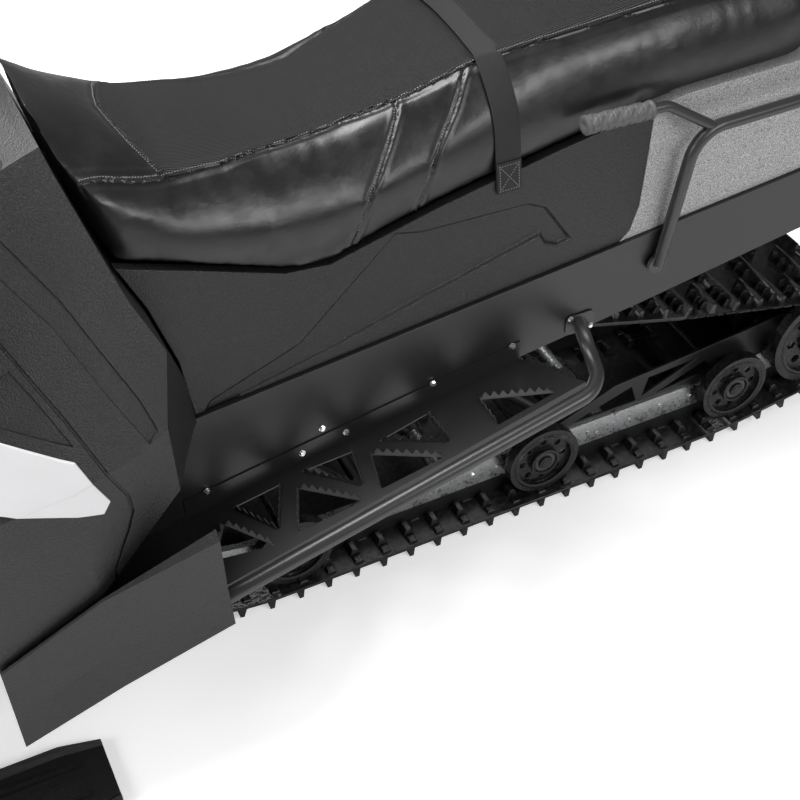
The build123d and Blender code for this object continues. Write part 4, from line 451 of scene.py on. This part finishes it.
# grooves at the seams, and the top's edge raised over the bolster
def sewSeat(pad):
    normals = [vertex.normal.copy() for vertex in pad.data.vertices]
    places = [vertex.co.copy() for vertex in pad.data.vertices]
    for index, (normal, place) in enumerate(zip(normals, places)):
        x, y, z = place
        if normal.z < -0.5:
            continue
        offset = seamOffset(x, y)
        move = Vector()
        if normal.z > 0.05 and x < seat["seamFront"]:
            if abs(offset) < seat["snap"]:
                move.y -= math.copysign(offset, y)
                move -= normal * seat["groove"]
            elif 0 < offset < seat["lipWidth"]:
                fade = 1 - offset / seat["lipWidth"]
                move -= normal * seat["lip"] * fade
            elif -seat["sideSwell"][1] < offset < 0:
                move += normal * swell(seat["sideSwell"], -offset)
        if offset < 0 and normal.z > 0.3:
            ahead = x - interpolate(seat["frontSeam"], abs(y))
            if abs(ahead) < seat["snap"]:
                move.x -= ahead
                move -= normal * seat["groove"] * 0.8
            elif abs(ahead) < seat["frontSwell"][1]:
                move += normal * swell(seat["frontSwell"], abs(ahead))
        if offset > 0:
            for table in seat["crossSeams"]:
                ahead = x - interpolate(table, z)
                if abs(ahead) < seat["snap"]:
                    move.x -= ahead
                    move -= normal * seat["groove"]
                elif abs(ahead) < seat["crossSwell"][1]:
                    move += normal * swell(seat["crossSwell"], abs(ahead))
        # slight puckers that run away from the side seam
        if 0 < offset < seat["puckerWidth"]:
            wave = math.sin(x * 115.0 + 2.2 * math.sin(x * 31.0))
            move += normal * seat["pucker"] * wave * math.sin(math.pi * offset / seat["puckerWidth"])
        places[index] = place + move
    pad.data.vertices.foreach_set("co", [value for place in places for value in place])
    pad.data.update()
    pad.data.materials.clear()
    pad.data.materials.append(seatVinyl)
    pad.data.materials.append(seatKnit)
    for face in pad.data.polygons:
        x, y, z = face.center
        inside = seamOffset(x, y) < 0 and x < interpolate(seat["frontSeam"], abs(y)) and face.normal.z > 0.1
        face.material_index = 1 if inside and x > seat["knitRear"] else 0
        face.use_smooth = True
    pad.data.update()


sewSeat(seatPad)
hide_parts("seat_cushion")
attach(seatPad, "chassis")
seatTree = surfaceTree(seatPad)
print("stage: seat sewn")


# stitches along the seams
stitches = {"pitch": 0.0052, "length": 0.0036, "thickness": 0.0006, "width": 0.0007, "aside": 0.0042,
            "crossAside": 0.0045, "step": 0.009, "sunk": -0.0004, "front": 0.40, "steps": 150}


def dropOnSeat(x, y, z=1.4):
    place, normal, _, _ = seatTree.ray_cast(Vector((x, y, z)), Vector((0, 0, -1)))
    return place, normal


# stitches along a line of places on the surface, each with its normal
def stitchRow(points):
    parts = []
    line = alongLine([p for p, _ in points], stitches["pitch"])
    for place, way in line:
        nearest = min(points, key=lambda item: (item[0] - place).length_squared)
        normal = nearest[1]
        side = way.cross(normal).normalized()
        half = stitches["length"] / 2
        corners = []
        sunk, raised = stitches["sunk"], stitches["thickness"]
        for along, lift in ((-half, sunk), (-half * 0.6, raised), (half * 0.6, raised), (half, sunk)):
            for across in (-stitches["width"], stitches["width"]):
                corners.append(place + way * along + side * across + normal * lift)
        faces = [(0, 1, 3, 2), (2, 3, 5, 4), (4, 5, 7, 6), (0, 2, 4, 6), (1, 7, 5, 3)]
        parts.append((corners, faces))
    return parts


stitchParts = []
for sign in (1, -1):
    row = []
    for step in range(stitches["steps"]):
        x = stitches["front"] - step * stitches["step"]
        place, normal = dropOnSeat(x, sign * (interpolate(seat["sideSeam"], x) - stitches["aside"]))
        if place:
            row.append((place, normal))
    stitchParts += stitchRow(row)
    for table in seat["crossSeams"]:
        row = []
        for step in range(20):
            z = 0.875 + step * stitches["step"]
            start = Vector((interpolate(table, z) + stitches["crossAside"], sign * 0.5, z))
            place, normal, _, _ = seatTree.ray_cast(start, Vector((0, -sign, 0)))
            if place and abs(normal.y) > 0.15 and seamOffset(place.x, place.y) > 0.004:
                row.append((place, normal))
        if len(row) > 3:
            stitchParts += stitchRow(row)
row = []
for step in range(-32, 33):
    y = step * 0.005
    place, normal = dropOnSeat(interpolate(seat["frontSeam"], abs(y)) + stitches["aside"], y)
    if place:
        row.append((place, normal))
stitchParts += stitchRow(row)
mesh("seatStitches", *gather(stitchParts), thread)
print("stage: stitches", len(stitchParts))


# strap over the seat
strap = {"rear": -0.356, "front": -0.306, "lowZ": 0.866, "sheet": 0.0022, "patch": 0.062, "lift": 0.0015}


# whether c keeps to the right of the line from a to b, or on it
def turnsBack(a, b, c):
    return (b[0] - a[0]) * (c[1] - a[1]) - (b[1] - a[1]) * (c[0] - a[0]) <= 0


def convexHull(points):
    points = sorted(points)

    def half(ordered):
        hull = []
        for p in ordered:
            while len(hull) > 1 and turnsBack(hull[-2], hull[-1], p):
                hull.pop()
            hull.append(p)
        return hull

    lower, upper = half(points), half(reversed(points))
    return lower[:-1] + upper[:-1]


panelTree = surfaceTree(nodes["seat_panel_left"], nodes["seat_panel_right"], seatPad)


# the strap's line from hem to hem over the seat
def strapProfile(x):
    centre = Vector((x, 0, 0.80))
    touched = []
    for step in range(-60, 61):
        turn = math.radians(step * 2.2)
        way = Vector((0, math.sin(turn), math.cos(turn)))
        far = centre + way * 0.9
        place, normal, _, _ = panelTree.ray_cast(far, -way)
        if place and place.z > strap["lowZ"] - 0.03:
            touched.append((place.y, place.z))
    touched += [(-0.05, 0.7), (0.05, 0.7)]
    hull = [p for p in convexHull(touched) if p[1] > strap["lowZ"] - 0.035]
    hull.sort(key=lambda p: math.atan2(p[0], p[1] - 0.80))
    line = [(a[0].y, a[0].z) for a in alongLine([Vector((0, y, z)) for y, z in hull], 0.006)]
    return [p for p in line if p[1] >= strap["lowZ"]]


profile = strapProfile((strap["rear"] + strap["front"]) / 2)
rows, length = [], 0.0
for index, (y, z) in enumerate(profile):
    before, after = profile[max(0, index - 1)], profile[min(len(profile) - 1, index + 1)]
    way = Vector((0, after[0] - before[0], after[1] - before[1])).normalized()
    outward = Vector((0, -way.z, way.y))
    if outward.dot(Vector((0, y, z - 0.8))) < 0:
        outward = -outward
    rows.append((Vector((0, y, z)), outward))
    length += (Vector((0, y, z)) - Vector((0, *before))).length
vertices, faces = [], []
across = 9
for point, outward in rows:
    for k in range(across):
        share = k / (across - 1)
        x = strap["rear"] + (strap["front"] - strap["rear"]) * share
        crown = 0.0007 * math.sin(math.pi * share)
        vertices.append(Vector((x, point.y, point.z)) + outward * (strap["lift"] + crown))
for r in range(len(rows) - 1):
    for k in range(across - 1):
        a = r * across + k
        faces.append((a, a + 1, a + 1 + across, a + across))
seatStrap = mesh("seatStrap", vertices, faces, webbing)
solid = seatStrap.modifiers.new("thickness", "SOLIDIFY")
solid.thickness = strap["sheet"]
solid.offset = 1.0
round_ = seatStrap.modifiers.new("edge", "BEVEL")
round_.width = 0.0006
round_.limit_method = "ANGLE"
smoothShade(seatStrap, 40)
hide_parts("seat_strap")
# doubled end on each side, with its stitching
patchParts, patchStitches = [], []
for side in (1, -1):
    ends = [row for row in rows if row[0].y * side > 0 and row[0].z < strap["lowZ"] + strap["patch"]]
    ends.sort(key=lambda row: -row[0].z)
    patchVertices, patchFaces = [], []
    for point, outward in ends:
        for k in range(5):
            x = strap["rear"] + 0.001 + (strap["front"] - strap["rear"] - 0.002) * k / 4
            patchVertices.append(Vector((x, point.y, point.z)) + outward * (strap["lift"] + strap["sheet"]))
            high = strap["lift"] + 2 * strap["sheet"] + 0.0006 * math.sin(math.pi * k / 4)
            patchVertices.append(Vector((x, point.y, point.z)) + outward * high)
    last = len(ends) - 1
    for r in range(last):
        for k in range(4):
            a = (r * 5 + k) * 2
            b = a + 10
            patchFaces += [(a + 1, a + 3, b + 3, b + 1)]
        a = r * 10
        patchFaces += [(a, a + 1, a + 11, a + 10), (a + 8, a + 18, a + 19, a + 9)]
    for k in range(4):
        a, b = 2 * k, last * 10 + 2 * k
        patchFaces += [(a, a + 2, a + 3, a + 1), (b, b + 1, b + 3, b + 2)]
    patchParts.append((patchVertices, patchFaces))
    lift = strap["lift"] + 2 * strap["sheet"] + 0.0005
    top, low = ends[1], ends[-2]
    left, right = strap["rear"] + 0.006, strap["front"] - 0.006
    corner = [Vector((x, row[0].y, row[0].z)) + row[1] * lift for row in (top, low) for x in (left, right)]
    for a, b in ((0, 1), (2, 3), (0, 3), (1, 2), (0, 2), (1, 3)):
        if (a, b) in ((0, 2), (1, 3)):
            x = left if a == 0 else right
            line = [(Vector((x, row[0].y, row[0].z)) + row[1] * lift, row[1]) for row in ends[1:-1]]
        else:
            line = []
            for t in range(9):
                row = ends[min(last, 1 + round((last - 2) * t / 8))]
                line.append((corner[a].lerp(corner[b], t / 8), row[1]))
            if a in (0, 1) and b in (2, 3):
                line = []
                for t in range(len(ends) - 2):
                    row = ends[1 + t]
                    share = t / max(1, len(ends) - 3)
                    x = left + (right - left) * (share if a == 0 else 1 - share)
                    line.append((Vector((x, row[0].y, row[0].z)) + row[1] * lift, row[1]))
        patchStitches += stitchRow(line)
strapPatch = mesh("strapEnds", *gather(patchParts), webbing)
strapStitches = mesh("strapStitches", *gather(patchStitches), thread)
smoothShade(strapPatch, 40)
print("stage: strap", round(length, 3))


# bolts
bolts = {"flange": 0.0070, "across": 0.0056, "height": 0.0052}


def boltHead(place, normal, size=1.0, turn=0.0):
    normal = Vector(normal).normalized()
    flange = bolts["flange"] * size
    head = lathe([(-0.001, flange), (0.0010, flange), (0.0016, flange * 0.93)], place, normal, 20, True)
    side = normal.orthogonal().normalized()
    up = normal.cross(side)
    vertices = []
    for along, radius in ((0.0012, 1.0), (bolts["height"] * size * 0.86, 1.0), (bolts["height"] * size, 0.82)):
        for k in range(6):
            angle = turn + math.pi * k / 3
            reach = bolts["across"] * size * radius
            vertices.append(onRing(Vector(place) + normal * along, side, up, angle, reach))
    faces = [(a + k, a + (k + 1) % 6, a + 6 + (k + 1) % 6, a + 6 + k) for a in (0, 6) for k in range(6)]
    faces.append(tuple(range(12, 18)))
    return [head, (vertices, faces)]


boltPlaces = [
    ((0.306, 0.429), 0.2), ((0.115, 0.441), 0.9), ((0.070, 0.483), 0.5), ((0.024, 0.455), 0.1),
    ((-0.160, 0.503), 0.7), ((-0.331, 0.529), 0.3),
]
sideTree = surfaceTree(nodes["tunnel"], nodes["footboard_left"], nodes["footboard_right"])
boltParts = []
for (x, z), turn in boltPlaces:
    for sign in (1, -1):
        place, normal, _, _ = sideTree.ray_cast(Vector((x, sign * 0.45, z)), Vector((0, -sign, 0)))
        boltParts += boltHead(place, (0, sign, 0), 1.0, turn)
footTree = surfaceTree(nodes["board_tubes"], nodes["rack"])
for x, z, size in ((-0.459, 0.548, 0.9), (-0.505, 0.516, 0.9), (-0.645, 0.622, 0.95), (-1.395, 0.718, 0.95)):
    for sign in (1, -1):
        place, normal, _, _ = footTree.ray_cast(Vector((x, sign * 0.45, z)), Vector((0, -sign, 0)))
        if place:
            boltParts += boltHead(place, (0, sign, 0), size, 0.4)
sideBolts = mesh("sideBolts", *gather(boltParts), boltSteel)
smoothShade(sideBolts, 25)
print("stage: bolts")


# saw-tooth edges of the board windows
boards = {
    "slope": 0.158, "height": 0.4349, "rearX": -0.420, "length": 0.772, "innerY": 0.276, "width": 0.192,
    "toothHeight": 0.0165, "toothPitch": 0.0175, "sheet": 0.0018,
    # the corner where the two toothed edges meet comes first
    "windowShares": (
        ((0.929, 0.30), (0.985, 0.66), (0.848, 0.82)),
        ((0.823, 0.67), (0.892, 0.16), (0.766, 0.15)),
        ((0.734, 0.30), (0.786, 0.80), (0.619, 0.80)),
        ((0.601, 0.63), (0.708, 0.12), (0.580, 0.17)),
        ((0.542, 0.31), (0.567, 0.77), (0.397, 0.755)),
        ((0.365, 0.61), (0.509, 0.20), (0.371, 0.146)),
        ((0.243, 0.27), (0.244, 0.69), (0.075, 0.63)),
    ),
}


def onBoard(share, sign):
    x = boards["rearX"] + boards["length"] * share[0]
    y = boards["innerY"] + boards["width"] * share[1]
    return Vector((x, sign * y, boards["height"] - boards["slope"] * x))


def toothedEdge(start, end, centre):
    up = Vector((boards["slope"], 0, 1)).normalized()
    way = end - start
    count = max(3, round(way.length / boards["toothPitch"]))
    out = up.cross(way).normalized()
    if out.dot(centre - start) > 0:
        out = -out
    outline = [start - up * 0.0005]
    for k in range(count):
        for share, lift in ((0.06, 0.30), (0.44, 1.0), (0.56, 1.0), (0.94, 0.30)):
            outline.append(start + way * ((k + share) / count) + up * boards["toothHeight"] * lift)
    outline.append(end - up * 0.0005)
    back = [p + out * boards["sheet"] for p in outline]
    total = len(outline)
    faces = []
    # the strip between the foot and the tooth line, front and back
    shares = [min(max((p - start).dot(way) / way.length_squared, 0), 1) for p in outline]
    base = [start - up * 0.0005 + way * share for share in shares]
    baseBack = [p + out * boards["sheet"] for p in base]
    vertices = outline + back + base + baseBack
    for k in range(total - 1):
        faces.append((k, k + 1, total * 2 + k + 1, total * 2 + k))
        faces.append((total + k + 1, total + k, total * 3 + k, total * 3 + k + 1))
        faces.append((k + 1, k, total + k, total + k + 1))
    return vertices, faces


toothParts = []
for sign in (1, -1):
    for apex, first, second in boards["windowShares"]:
        corners = [onBoard(share, sign) for share in (apex, first, second)]
        centre = sum(corners, Vector()) / 3
        for corner in corners[1:]:
            inset = (corner - corners[0]) * 0.04
            toothParts.append(toothedEdge(corners[0] + inset, corner - inset, centre))
    # along the board's rear end
    tip, inner = onBoard((0.0, 0.682), sign), onBoard((0.0958, 0.0), sign)
    edge = inner - tip
    behind = (tip + inner) / 2 + Vector((-0.2, 0, 0))
    toothParts.append(toothedEdge(tip + edge * 0.14, inner - edge * 0.12, behind))
boardTeeth = mesh("boardTeeth", *gather(toothParts), tubePaint)
weld = boardTeeth.modifiers.new("weld", "WELD")
weld.merge_threshold = 0.00005
smoothShade(boardTeeth, 20)
print("stage: board teeth", len(toothParts))


# track: the inner drive lugs, the clips and the ribs on the outer lugs follow the belt's own loop
belt = {
    # centre in X and Z, and radius; the two open places are worked out from the values below
    "circles": (((-0.860, 0.630), 0.600), ((0.170, 0.530), 0.500), None, ((0.500, 0.428), 0.092),
                ((-0.330, 0.450), 0.085), None, ((-1.165, 0.188), 0.118)),
    "noseTurn": 16.0, "toeRadius": 0.160,
    "sagX": -0.760, "sagZ": 0.410, "sagSlope": 14.6, "sagRadius": 1.200,
    "pitch": 0.064, "sheet": 0.008,
    # half width, low and high along the normal, half foot, half head and the head's share of the width
    "rib": (0.0032, 0.007, 0.0275, 0.0125, 0.0065, 0.9),
}


def beltCircles():
    circles = list(belt["circles"])
    (noseX, noseZ), noseRadius = circles[1]
    turn = math.radians(belt["noseTurn"] - 90)
    reach = noseRadius - belt["toeRadius"]
    circles[2] = ((noseX + math.cos(turn) * reach, noseZ + math.sin(turn) * reach), belt["toeRadius"])
    turn = math.radians(90 + belt["sagSlope"])
    reach = belt["sagRadius"]
    circles[5] = ((belt["sagX"] + math.cos(turn) * reach, belt["sagZ"] + math.sin(turn) * reach), -reach)
    return [(Vector(centre), radius) for centre, radius in circles]


# places round the belt's inner face, each with its outward normal and direction
def beltPlaces(count, shift=0.0):
    circles = beltCircles()
    normals = []
    for index, (centre, radius) in enumerate(circles):
        nextCentre, nextRadius = circles[(index + 1) % len(circles)]
        gap = nextCentre - centre
        along = gap.normalized()
        share = min((radius - nextRadius) / gap.length, 1.0)
        normals.append(along * share + Vector((along.y, -along.x)) * math.sqrt(1 - share * share))
    runs = []
    for index, (centre, radius) in enumerate(circles):
        first, second = normals[index - 1], normals[index]
        turn = math.atan2(first.x * second.y - first.y * second.x, first.dot(second))
        nextCentre, nextRadius = circles[(index + 1) % len(circles)]
        straight = (nextCentre + second * nextRadius - centre - second * radius).length
        runs.append((centre, radius, first, turn, second, straight))
    total = sum(radius * turn + straight for _, radius, _, turn, _, straight in runs)
    places = []
    for number in range(count):
        left = (total * (number + shift) / count) % total
        for centre, radius, first, turn, second, straight in runs:
            if left <= radius * turn:
                angle = left / radius
                cos, sin = math.cos(angle), math.sin(angle)
                normal = Vector((first.x * cos - first.y * sin, first.x * sin + first.y * cos))
                places.append((centre + normal * radius, normal))
                break
            left -= radius * turn
            if left <= straight:
                places.append((centre + second * radius + Vector((-second.y, second.x)) * left, second))
                break
            left -= straight
    return [(Vector((p.x, 0, p.y)), Vector((n.x, 0, n.y)), Vector((-n.y, 0, n.x))) for p, n in places], total


beltLength = beltPlaces(1)[1]
lugCount = 2 * round((beltLength + 2 * math.pi * belt["sheet"]) / belt["pitch"] / 2)


# a tapered block that stands on the belt
def beltBlock(place, normal, way, y, half, low, high, footHalf, headHalf, headWide=0.8):
    across = Vector((0, 1, 0))
    vertices = []
    for lift, size, wide in ((low, footHalf, 1.0), (high, headHalf, headWide)):
        for a, b in ((-1, -1), (1, -1), (1, 1), (-1, 1)):
            vertices.append(place + normal * lift + way * size * a + across * (y + half * wide * b))
    return vertices, [(0, 1, 2, 3), (4, 7, 6, 5), (0, 4, 5, 1), (1, 5, 6, 2), (2, 6, 7, 3), (3, 7, 4, 0)]


driveParts, clipParts, ribParts = [], [], []
for place, normal, way in beltPlaces(lugCount)[0]:
    for y in (0.108, -0.108, 0.205, -0.205):
        driveParts.append(beltBlock(place, normal, way, y, 0.016, 0.001, -0.019, 0.013, 0.006))
    for y in (0.148, -0.148, 0.232, -0.232):
        driveParts.append(beltBlock(place, normal, way, y, 0.010, 0.001, -0.006, 0.011, 0.008))
for place, normal, way in beltPlaces(lugCount // 2, 0.25)[0]:
    for y in (0.173, -0.173):
        clipParts.append(beltBlock(place, normal, way, y, 0.013, 0.001, -0.0025, 0.011, 0.010, 0.9))
outer = beltPlaces(lugCount)[0]
for number, (place, normal, way) in enumerate(outer):
    for y in (0.232, 0.208, 0.184, -0.232, -0.208, -0.184):
        ribParts.append(beltBlock(place, normal, way, y, *belt["rib"]))
    if number % 2 == 0:
        for y in (0.135, 0.105, 0.078, -0.135, -0.105, -0.078):
            ribParts.append(beltBlock(place, normal, way, y, *belt["rib"]))
driveLugs = mesh("driveLugs", *gather(driveParts + ribParts), trackRubber)
softenEdges(driveLugs, 0.0016, 30, 2)
trackClips = mesh("trackClips", *gather(clipParts), darkSteel)
softenEdges(trackClips, 0.0008, 30, 1)
print("stage: track", lugCount)


# wheels: bearing, ring and hub bolt on the outer side of each
wheels = {
    "places": ((0.135, 0.118), (-0.450, 0.118), (-0.946, 0.126)), "outerY": 0.231, "rearPlace": (-1.165, 0.188),
    "capHigh": 0.007,
}
wheelParts, bearingParts = [], []
for x, z in wheels["places"] + (wheels["rearPlace"],):
    radius = 0.085 if z < 0.15 else 0.118
    for sign in (1, -1):
        origin = (x, sign * wheels["outerY"], z)
        axis = (0, sign, 0)
        lip = radius * 0.80
        rim = [(-0.004, lip - 0.001), (0.0015, lip - 0.003), (0.003, lip + 0.002), (0.0005, lip + 0.006)]
        wheelParts.append(lathe(rim, origin, axis, 48))
        hub = radius * 0.36
        collar = [(-0.002, hub + 0.004), (0.004, hub + 0.003), (0.005, hub - 0.002), (0.0005, hub - 0.004)]
        wheelParts.append(lathe(collar, origin, axis, 36))
        bearing = [(0.0, hub - 0.005), (0.0022, hub - 0.006), (0.0022, hub * 0.56), (0.0, hub * 0.55)]
        bearingParts.append(lathe(bearing, origin, axis, 36))
        high = wheels["capHigh"]
        cap = [(high - 0.002, hub * 0.42), (high + 0.0015, hub * 0.34), (high + 0.0022, hub * 0.1)]
        wheelParts.append(lathe(cap, origin, axis, 24, True))
wheelRings = mesh("wheelRings", *gather(wheelParts), wheelPlastic)
smoothShade(wheelRings, 35)
wheelBearings = mesh("wheelBearings", *gather(bearingParts), darkSteel)
smoothShade(wheelBearings, 35)
print("stage: wheels")


# passenger hand holds: a sleeve with raised rings and chevrons
holds = {
    "radius": 0.0165, "ring": 0.0022, "length": 0.140,
    "start": (-0.465, 0.272, 0.975), "end": (-0.640, 0.272, 0.966),
}


# height of the moulded pattern, at a distance from the end and an angle
def holdRelief(along, turn):
    if along < 0.006 or along > holds["length"] - 0.006:
        return 1.0
    block = (along - 0.008) / 0.0155
    if 0.10 < block % 1.0 < 0.80:
        slot = math.cos(turn * 4 + (block % 1.0) * 4.2 + (math.pi if int(block) % 2 else 0))
        return 0.85 if slot > -0.15 else 0.15
    return 0.1


gripParts = []
for sign in (1, -1):
    start = Vector(holds["start"]) * 1.0
    way = (Vector(holds["end"]) - start).normalized()
    start.y *= sign
    side = Vector((0, 1, 0))
    up = way.cross(side).normalized()
    rings, around = 112, 72
    vertices, faces = [], []
    profile = [(0.0, 0.30), (-0.0006, 0.34), (-0.0006, 0.8), (0.0006, 0.97)]
    profile += [(holds["length"] * k / rings, None) for k in range(1, rings)]
    profile += [(holds["length"], 0.97), (holds["length"], 0.7)]
    for along, share in profile:
        for k in range(around):
            turn = 2 * math.pi * k / around
            if share is None:
                radius = holds["radius"] - 0.0008 + holds["ring"] * holdRelief(along, turn)
            else:
                radius = (holds["radius"] + 0.0012) * share
            vertices.append(onRing(start + way * along, side, up, turn, radius))
    for ring in range(len(profile) - 1):
        for k in range(around):
            a, b = ring * around + k, ring * around + (k + 1) % around
            faces.append((a, b, b + around, a + around))
    faces.append(tuple(reversed(range(around))))
    faces.append(tuple(range((len(profile) - 1) * around, len(profile) * around)))
    gripParts.append((vertices, faces))
handHolds = mesh("passengerHandHolds", *gather(gripParts), gripRubber)
smoothShade(handHolds, 45)
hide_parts("passenger_grips")
print("stage: hand holds")


# springs over the dampers
springs = {
    "wire": 0.0048, "radius": 0.0265, "coils": 9, "startShare": 0.12, "endShare": 0.68,
    # share of the damper's length, and radius there
    "bodyShares": ((0.0, 0.008), (0.0, 0.011), (0.10, 0.0115), (0.11, 0.0235), (0.125, 0.0235), (0.13, 0.013),
                   (0.55, 0.013), (0.67, 0.013), (0.68, 0.0235), (0.695, 0.0235), (0.70, 0.0165),
                   (0.90, 0.0165), (1.0, 0.009)),
}


def damper(top, low):
    top, low = Vector(top), Vector(low)
    way = low - top
    unit = way.normalized()
    side = unit.orthogonal().normalized()
    up = unit.cross(side)
    coil = []
    for k in range(springs["coils"] * 16 + 1):
        share = k / (springs["coils"] * 16)
        along = springs["startShare"] + (springs["endShare"] - springs["startShare"]) * share
        turn = 2 * math.pi * springs["coils"] * share
        coil.append(onRing(top + way * along, side, up, turn, springs["radius"] - springs["wire"]))
    length = way.length
    outline = [(length * share, radius) for share, radius in springs["bodyShares"]]
    body = lathe(outline, top, unit, 24, True)
    return body, tubeAlong(coil, springs["wire"], 8)


def eye(place, shaft, half):
    inner, outer = shaft + 0.0006, shaft + 0.0075
    return lathe([(-half, inner), (-half, outer), (half, outer), (half, inner)], place, (0, 1, 0), 24)


bodies, coils = [], []
crossZ = 0.022 + 0.008 + 0.038 + 0.031
for topX, topZ, lowX in ((0.080, 0.470, -0.240), (-0.335, 0.330, -0.640)):
    body, coil = damper((topX, 0, topZ), (lowX, 0, crossZ))
    bodies += [body, eye((topX, 0, topZ), 0.009, 0.015), eye((lowX, 0, crossZ), 0.016, 0.015)]
    coils.append(coil)
trackDampers = mesh("trackDampers", *gather(bodies), darkSteel)
smoothShade(trackDampers, 30)
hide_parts("track_shocks")
trackSprings = mesh("trackSprings", *gather(coils), tubePaint)
smoothShade(trackSprings, 60)
bodies, coils = [], []
for sign in (1, -1):
    topPlace = (1.089, sign * 0.207, 0.540)
    lowPlace = (1.1084, sign * 0.3546, 0.2521)
    body, coil = damper(topPlace, lowPlace)
    bushPlace = (topPlace[0], sign * 0.1785, topPlace[2])
    bodies += [body, lathe([(0.0, 0.0115), (0.0285, 0.0115)], bushPlace, (0, sign, 0), 20, True)]
    coils.append(coil)
skiDampers = mesh("skiDampers", *gather(bodies), darkSteel)
smoothShade(skiDampers, 30)
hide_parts("ski_shocks")
skiSprings = mesh("skiSprings", *gather(coils), tubePaint)
smoothShade(skiSprings, 60)
print("stage: springs")


# slide rails: bolts along the outer faces
railParts = []
railTree = surfaceTree(nodes["slide_rails"], nodes["rail_plates"])
railBoltPlaces = (
    (-0.30, 0.100), (-0.36, 0.100), (-0.53, 0.094), (-0.59, 0.099), (-0.615, 0.086), (-0.66, 0.096),
    (-0.70, 0.092), (-0.78, 0.100), (-0.86, 0.100), (-0.92, 0.102), (0.02, 0.100), (-0.10, 0.100),
    (-0.18, 0.100), (-0.66, 0.128), (-0.80, 0.150), (-1.02, 0.150),
)
for x, z in railBoltPlaces:
    for sign in (1, -1):
        place, normal, _, _ = railTree.ray_cast(Vector((x, sign * 0.30, z)), Vector((0, -sign, 0)))
        if place:
            railParts += boltHead(place, (0, sign, 0), 0.8, x)
railBolts = mesh("railBolts", *gather(railParts), boltSteel)
smoothShade(railBolts, 25)
print("stage: rail bolts")


# floor, lamps and camera
floorWhite = principled("floor white", (0.93, 0.93, 0.93), 0.9, specular=0.1)
floorHalf = 30
floorCorners = [(a * floorHalf, b * floorHalf, 0) for a, b in ((-1, -1), (1, -1), (1, 1), (-1, 1))]
floor = mesh("floor", floorCorners, [(0, 1, 2, 3)], floorWhite, None)
floorTree = floorWhite.node_tree
seen = floorTree.nodes.new("ShaderNodeLightPath")
lift = floorTree.nodes.new("ShaderNodeMath")
lift.operation = "MULTIPLY"
lift.inputs[1].default_value = 0.42
floorTree.links.new(seen.outputs["Is Camera Ray"], lift.inputs[0])
floorShader = floorTree.nodes["Principled BSDF"]
floorShader.inputs["Emission Color"].default_value = (1.0, 1.0, 1.0, 1.0)
floorTree.links.new(lift.outputs["Value"], floorShader.inputs["Emission Strength"])

world = bpy.data.worlds.new("studio")
scene.world = world
world.use_nodes = True
world.node_tree.nodes["Background"].inputs["Color"].default_value = (1.0, 1.0, 1.0, 1.0)
worldTree = world.node_tree
worldSeen = worldTree.nodes.new("ShaderNodeLightPath")
worldLevel = worldTree.nodes.new("ShaderNodeMath")
worldLevel.operation = "MULTIPLY_ADD"
worldLevel.inputs[1].default_value = 0.78
worldLevel.inputs[2].default_value = 0.22
worldTree.links.new(worldSeen.outputs["Is Camera Ray"], worldLevel.inputs[0])
worldTree.links.new(worldLevel.outputs["Value"], worldTree.nodes["Background"].inputs["Strength"])


def lamp(name, place, target, size, power):
    data = bpy.data.lights.new(name, "AREA")
    data.shape = "RECTANGLE"
    data.size, data.size_y = size
    data.energy = power
    obj = bpy.data.objects.new(name, data)
    scene.collection.objects.link(obj)
    obj.location = place
    obj.rotation_euler = (Vector(target) - Vector(place)).to_track_quat("-Z", "Y").to_euler()
    return obj


lamp("overhead", (0.9, -0.9, 4.2), (0.0, 0.2, 0.3), (3.2, 1.8), 300.0)
lamp("left side", (-1.6, 3.6, 2.9), (-0.2, 0.0, 0.5), (2.6, 1.2), 90.0)
lamp("front side", (4.0, 1.2, 2.6), (0.0, 0.0, 0.6), (1.8, 1.8), 70.0)

camera = bpy.data.objects.new("camera", bpy.data.cameras.new("camera"))
scene.collection.objects.link(camera)
camera.data.sensor_width = 36.0
camera.data.lens = 63.8255
camera.data.clip_end = 100.0
camera.location = (0.719638, 2.086517, 2.303975)
camera.rotation_euler = (math.radians(47.478581), math.radians(1.587210), math.radians(154.412124))
scene.camera = camera
scene.view_settings.view_transform = "Standard"
print("stage: lamps and camera")
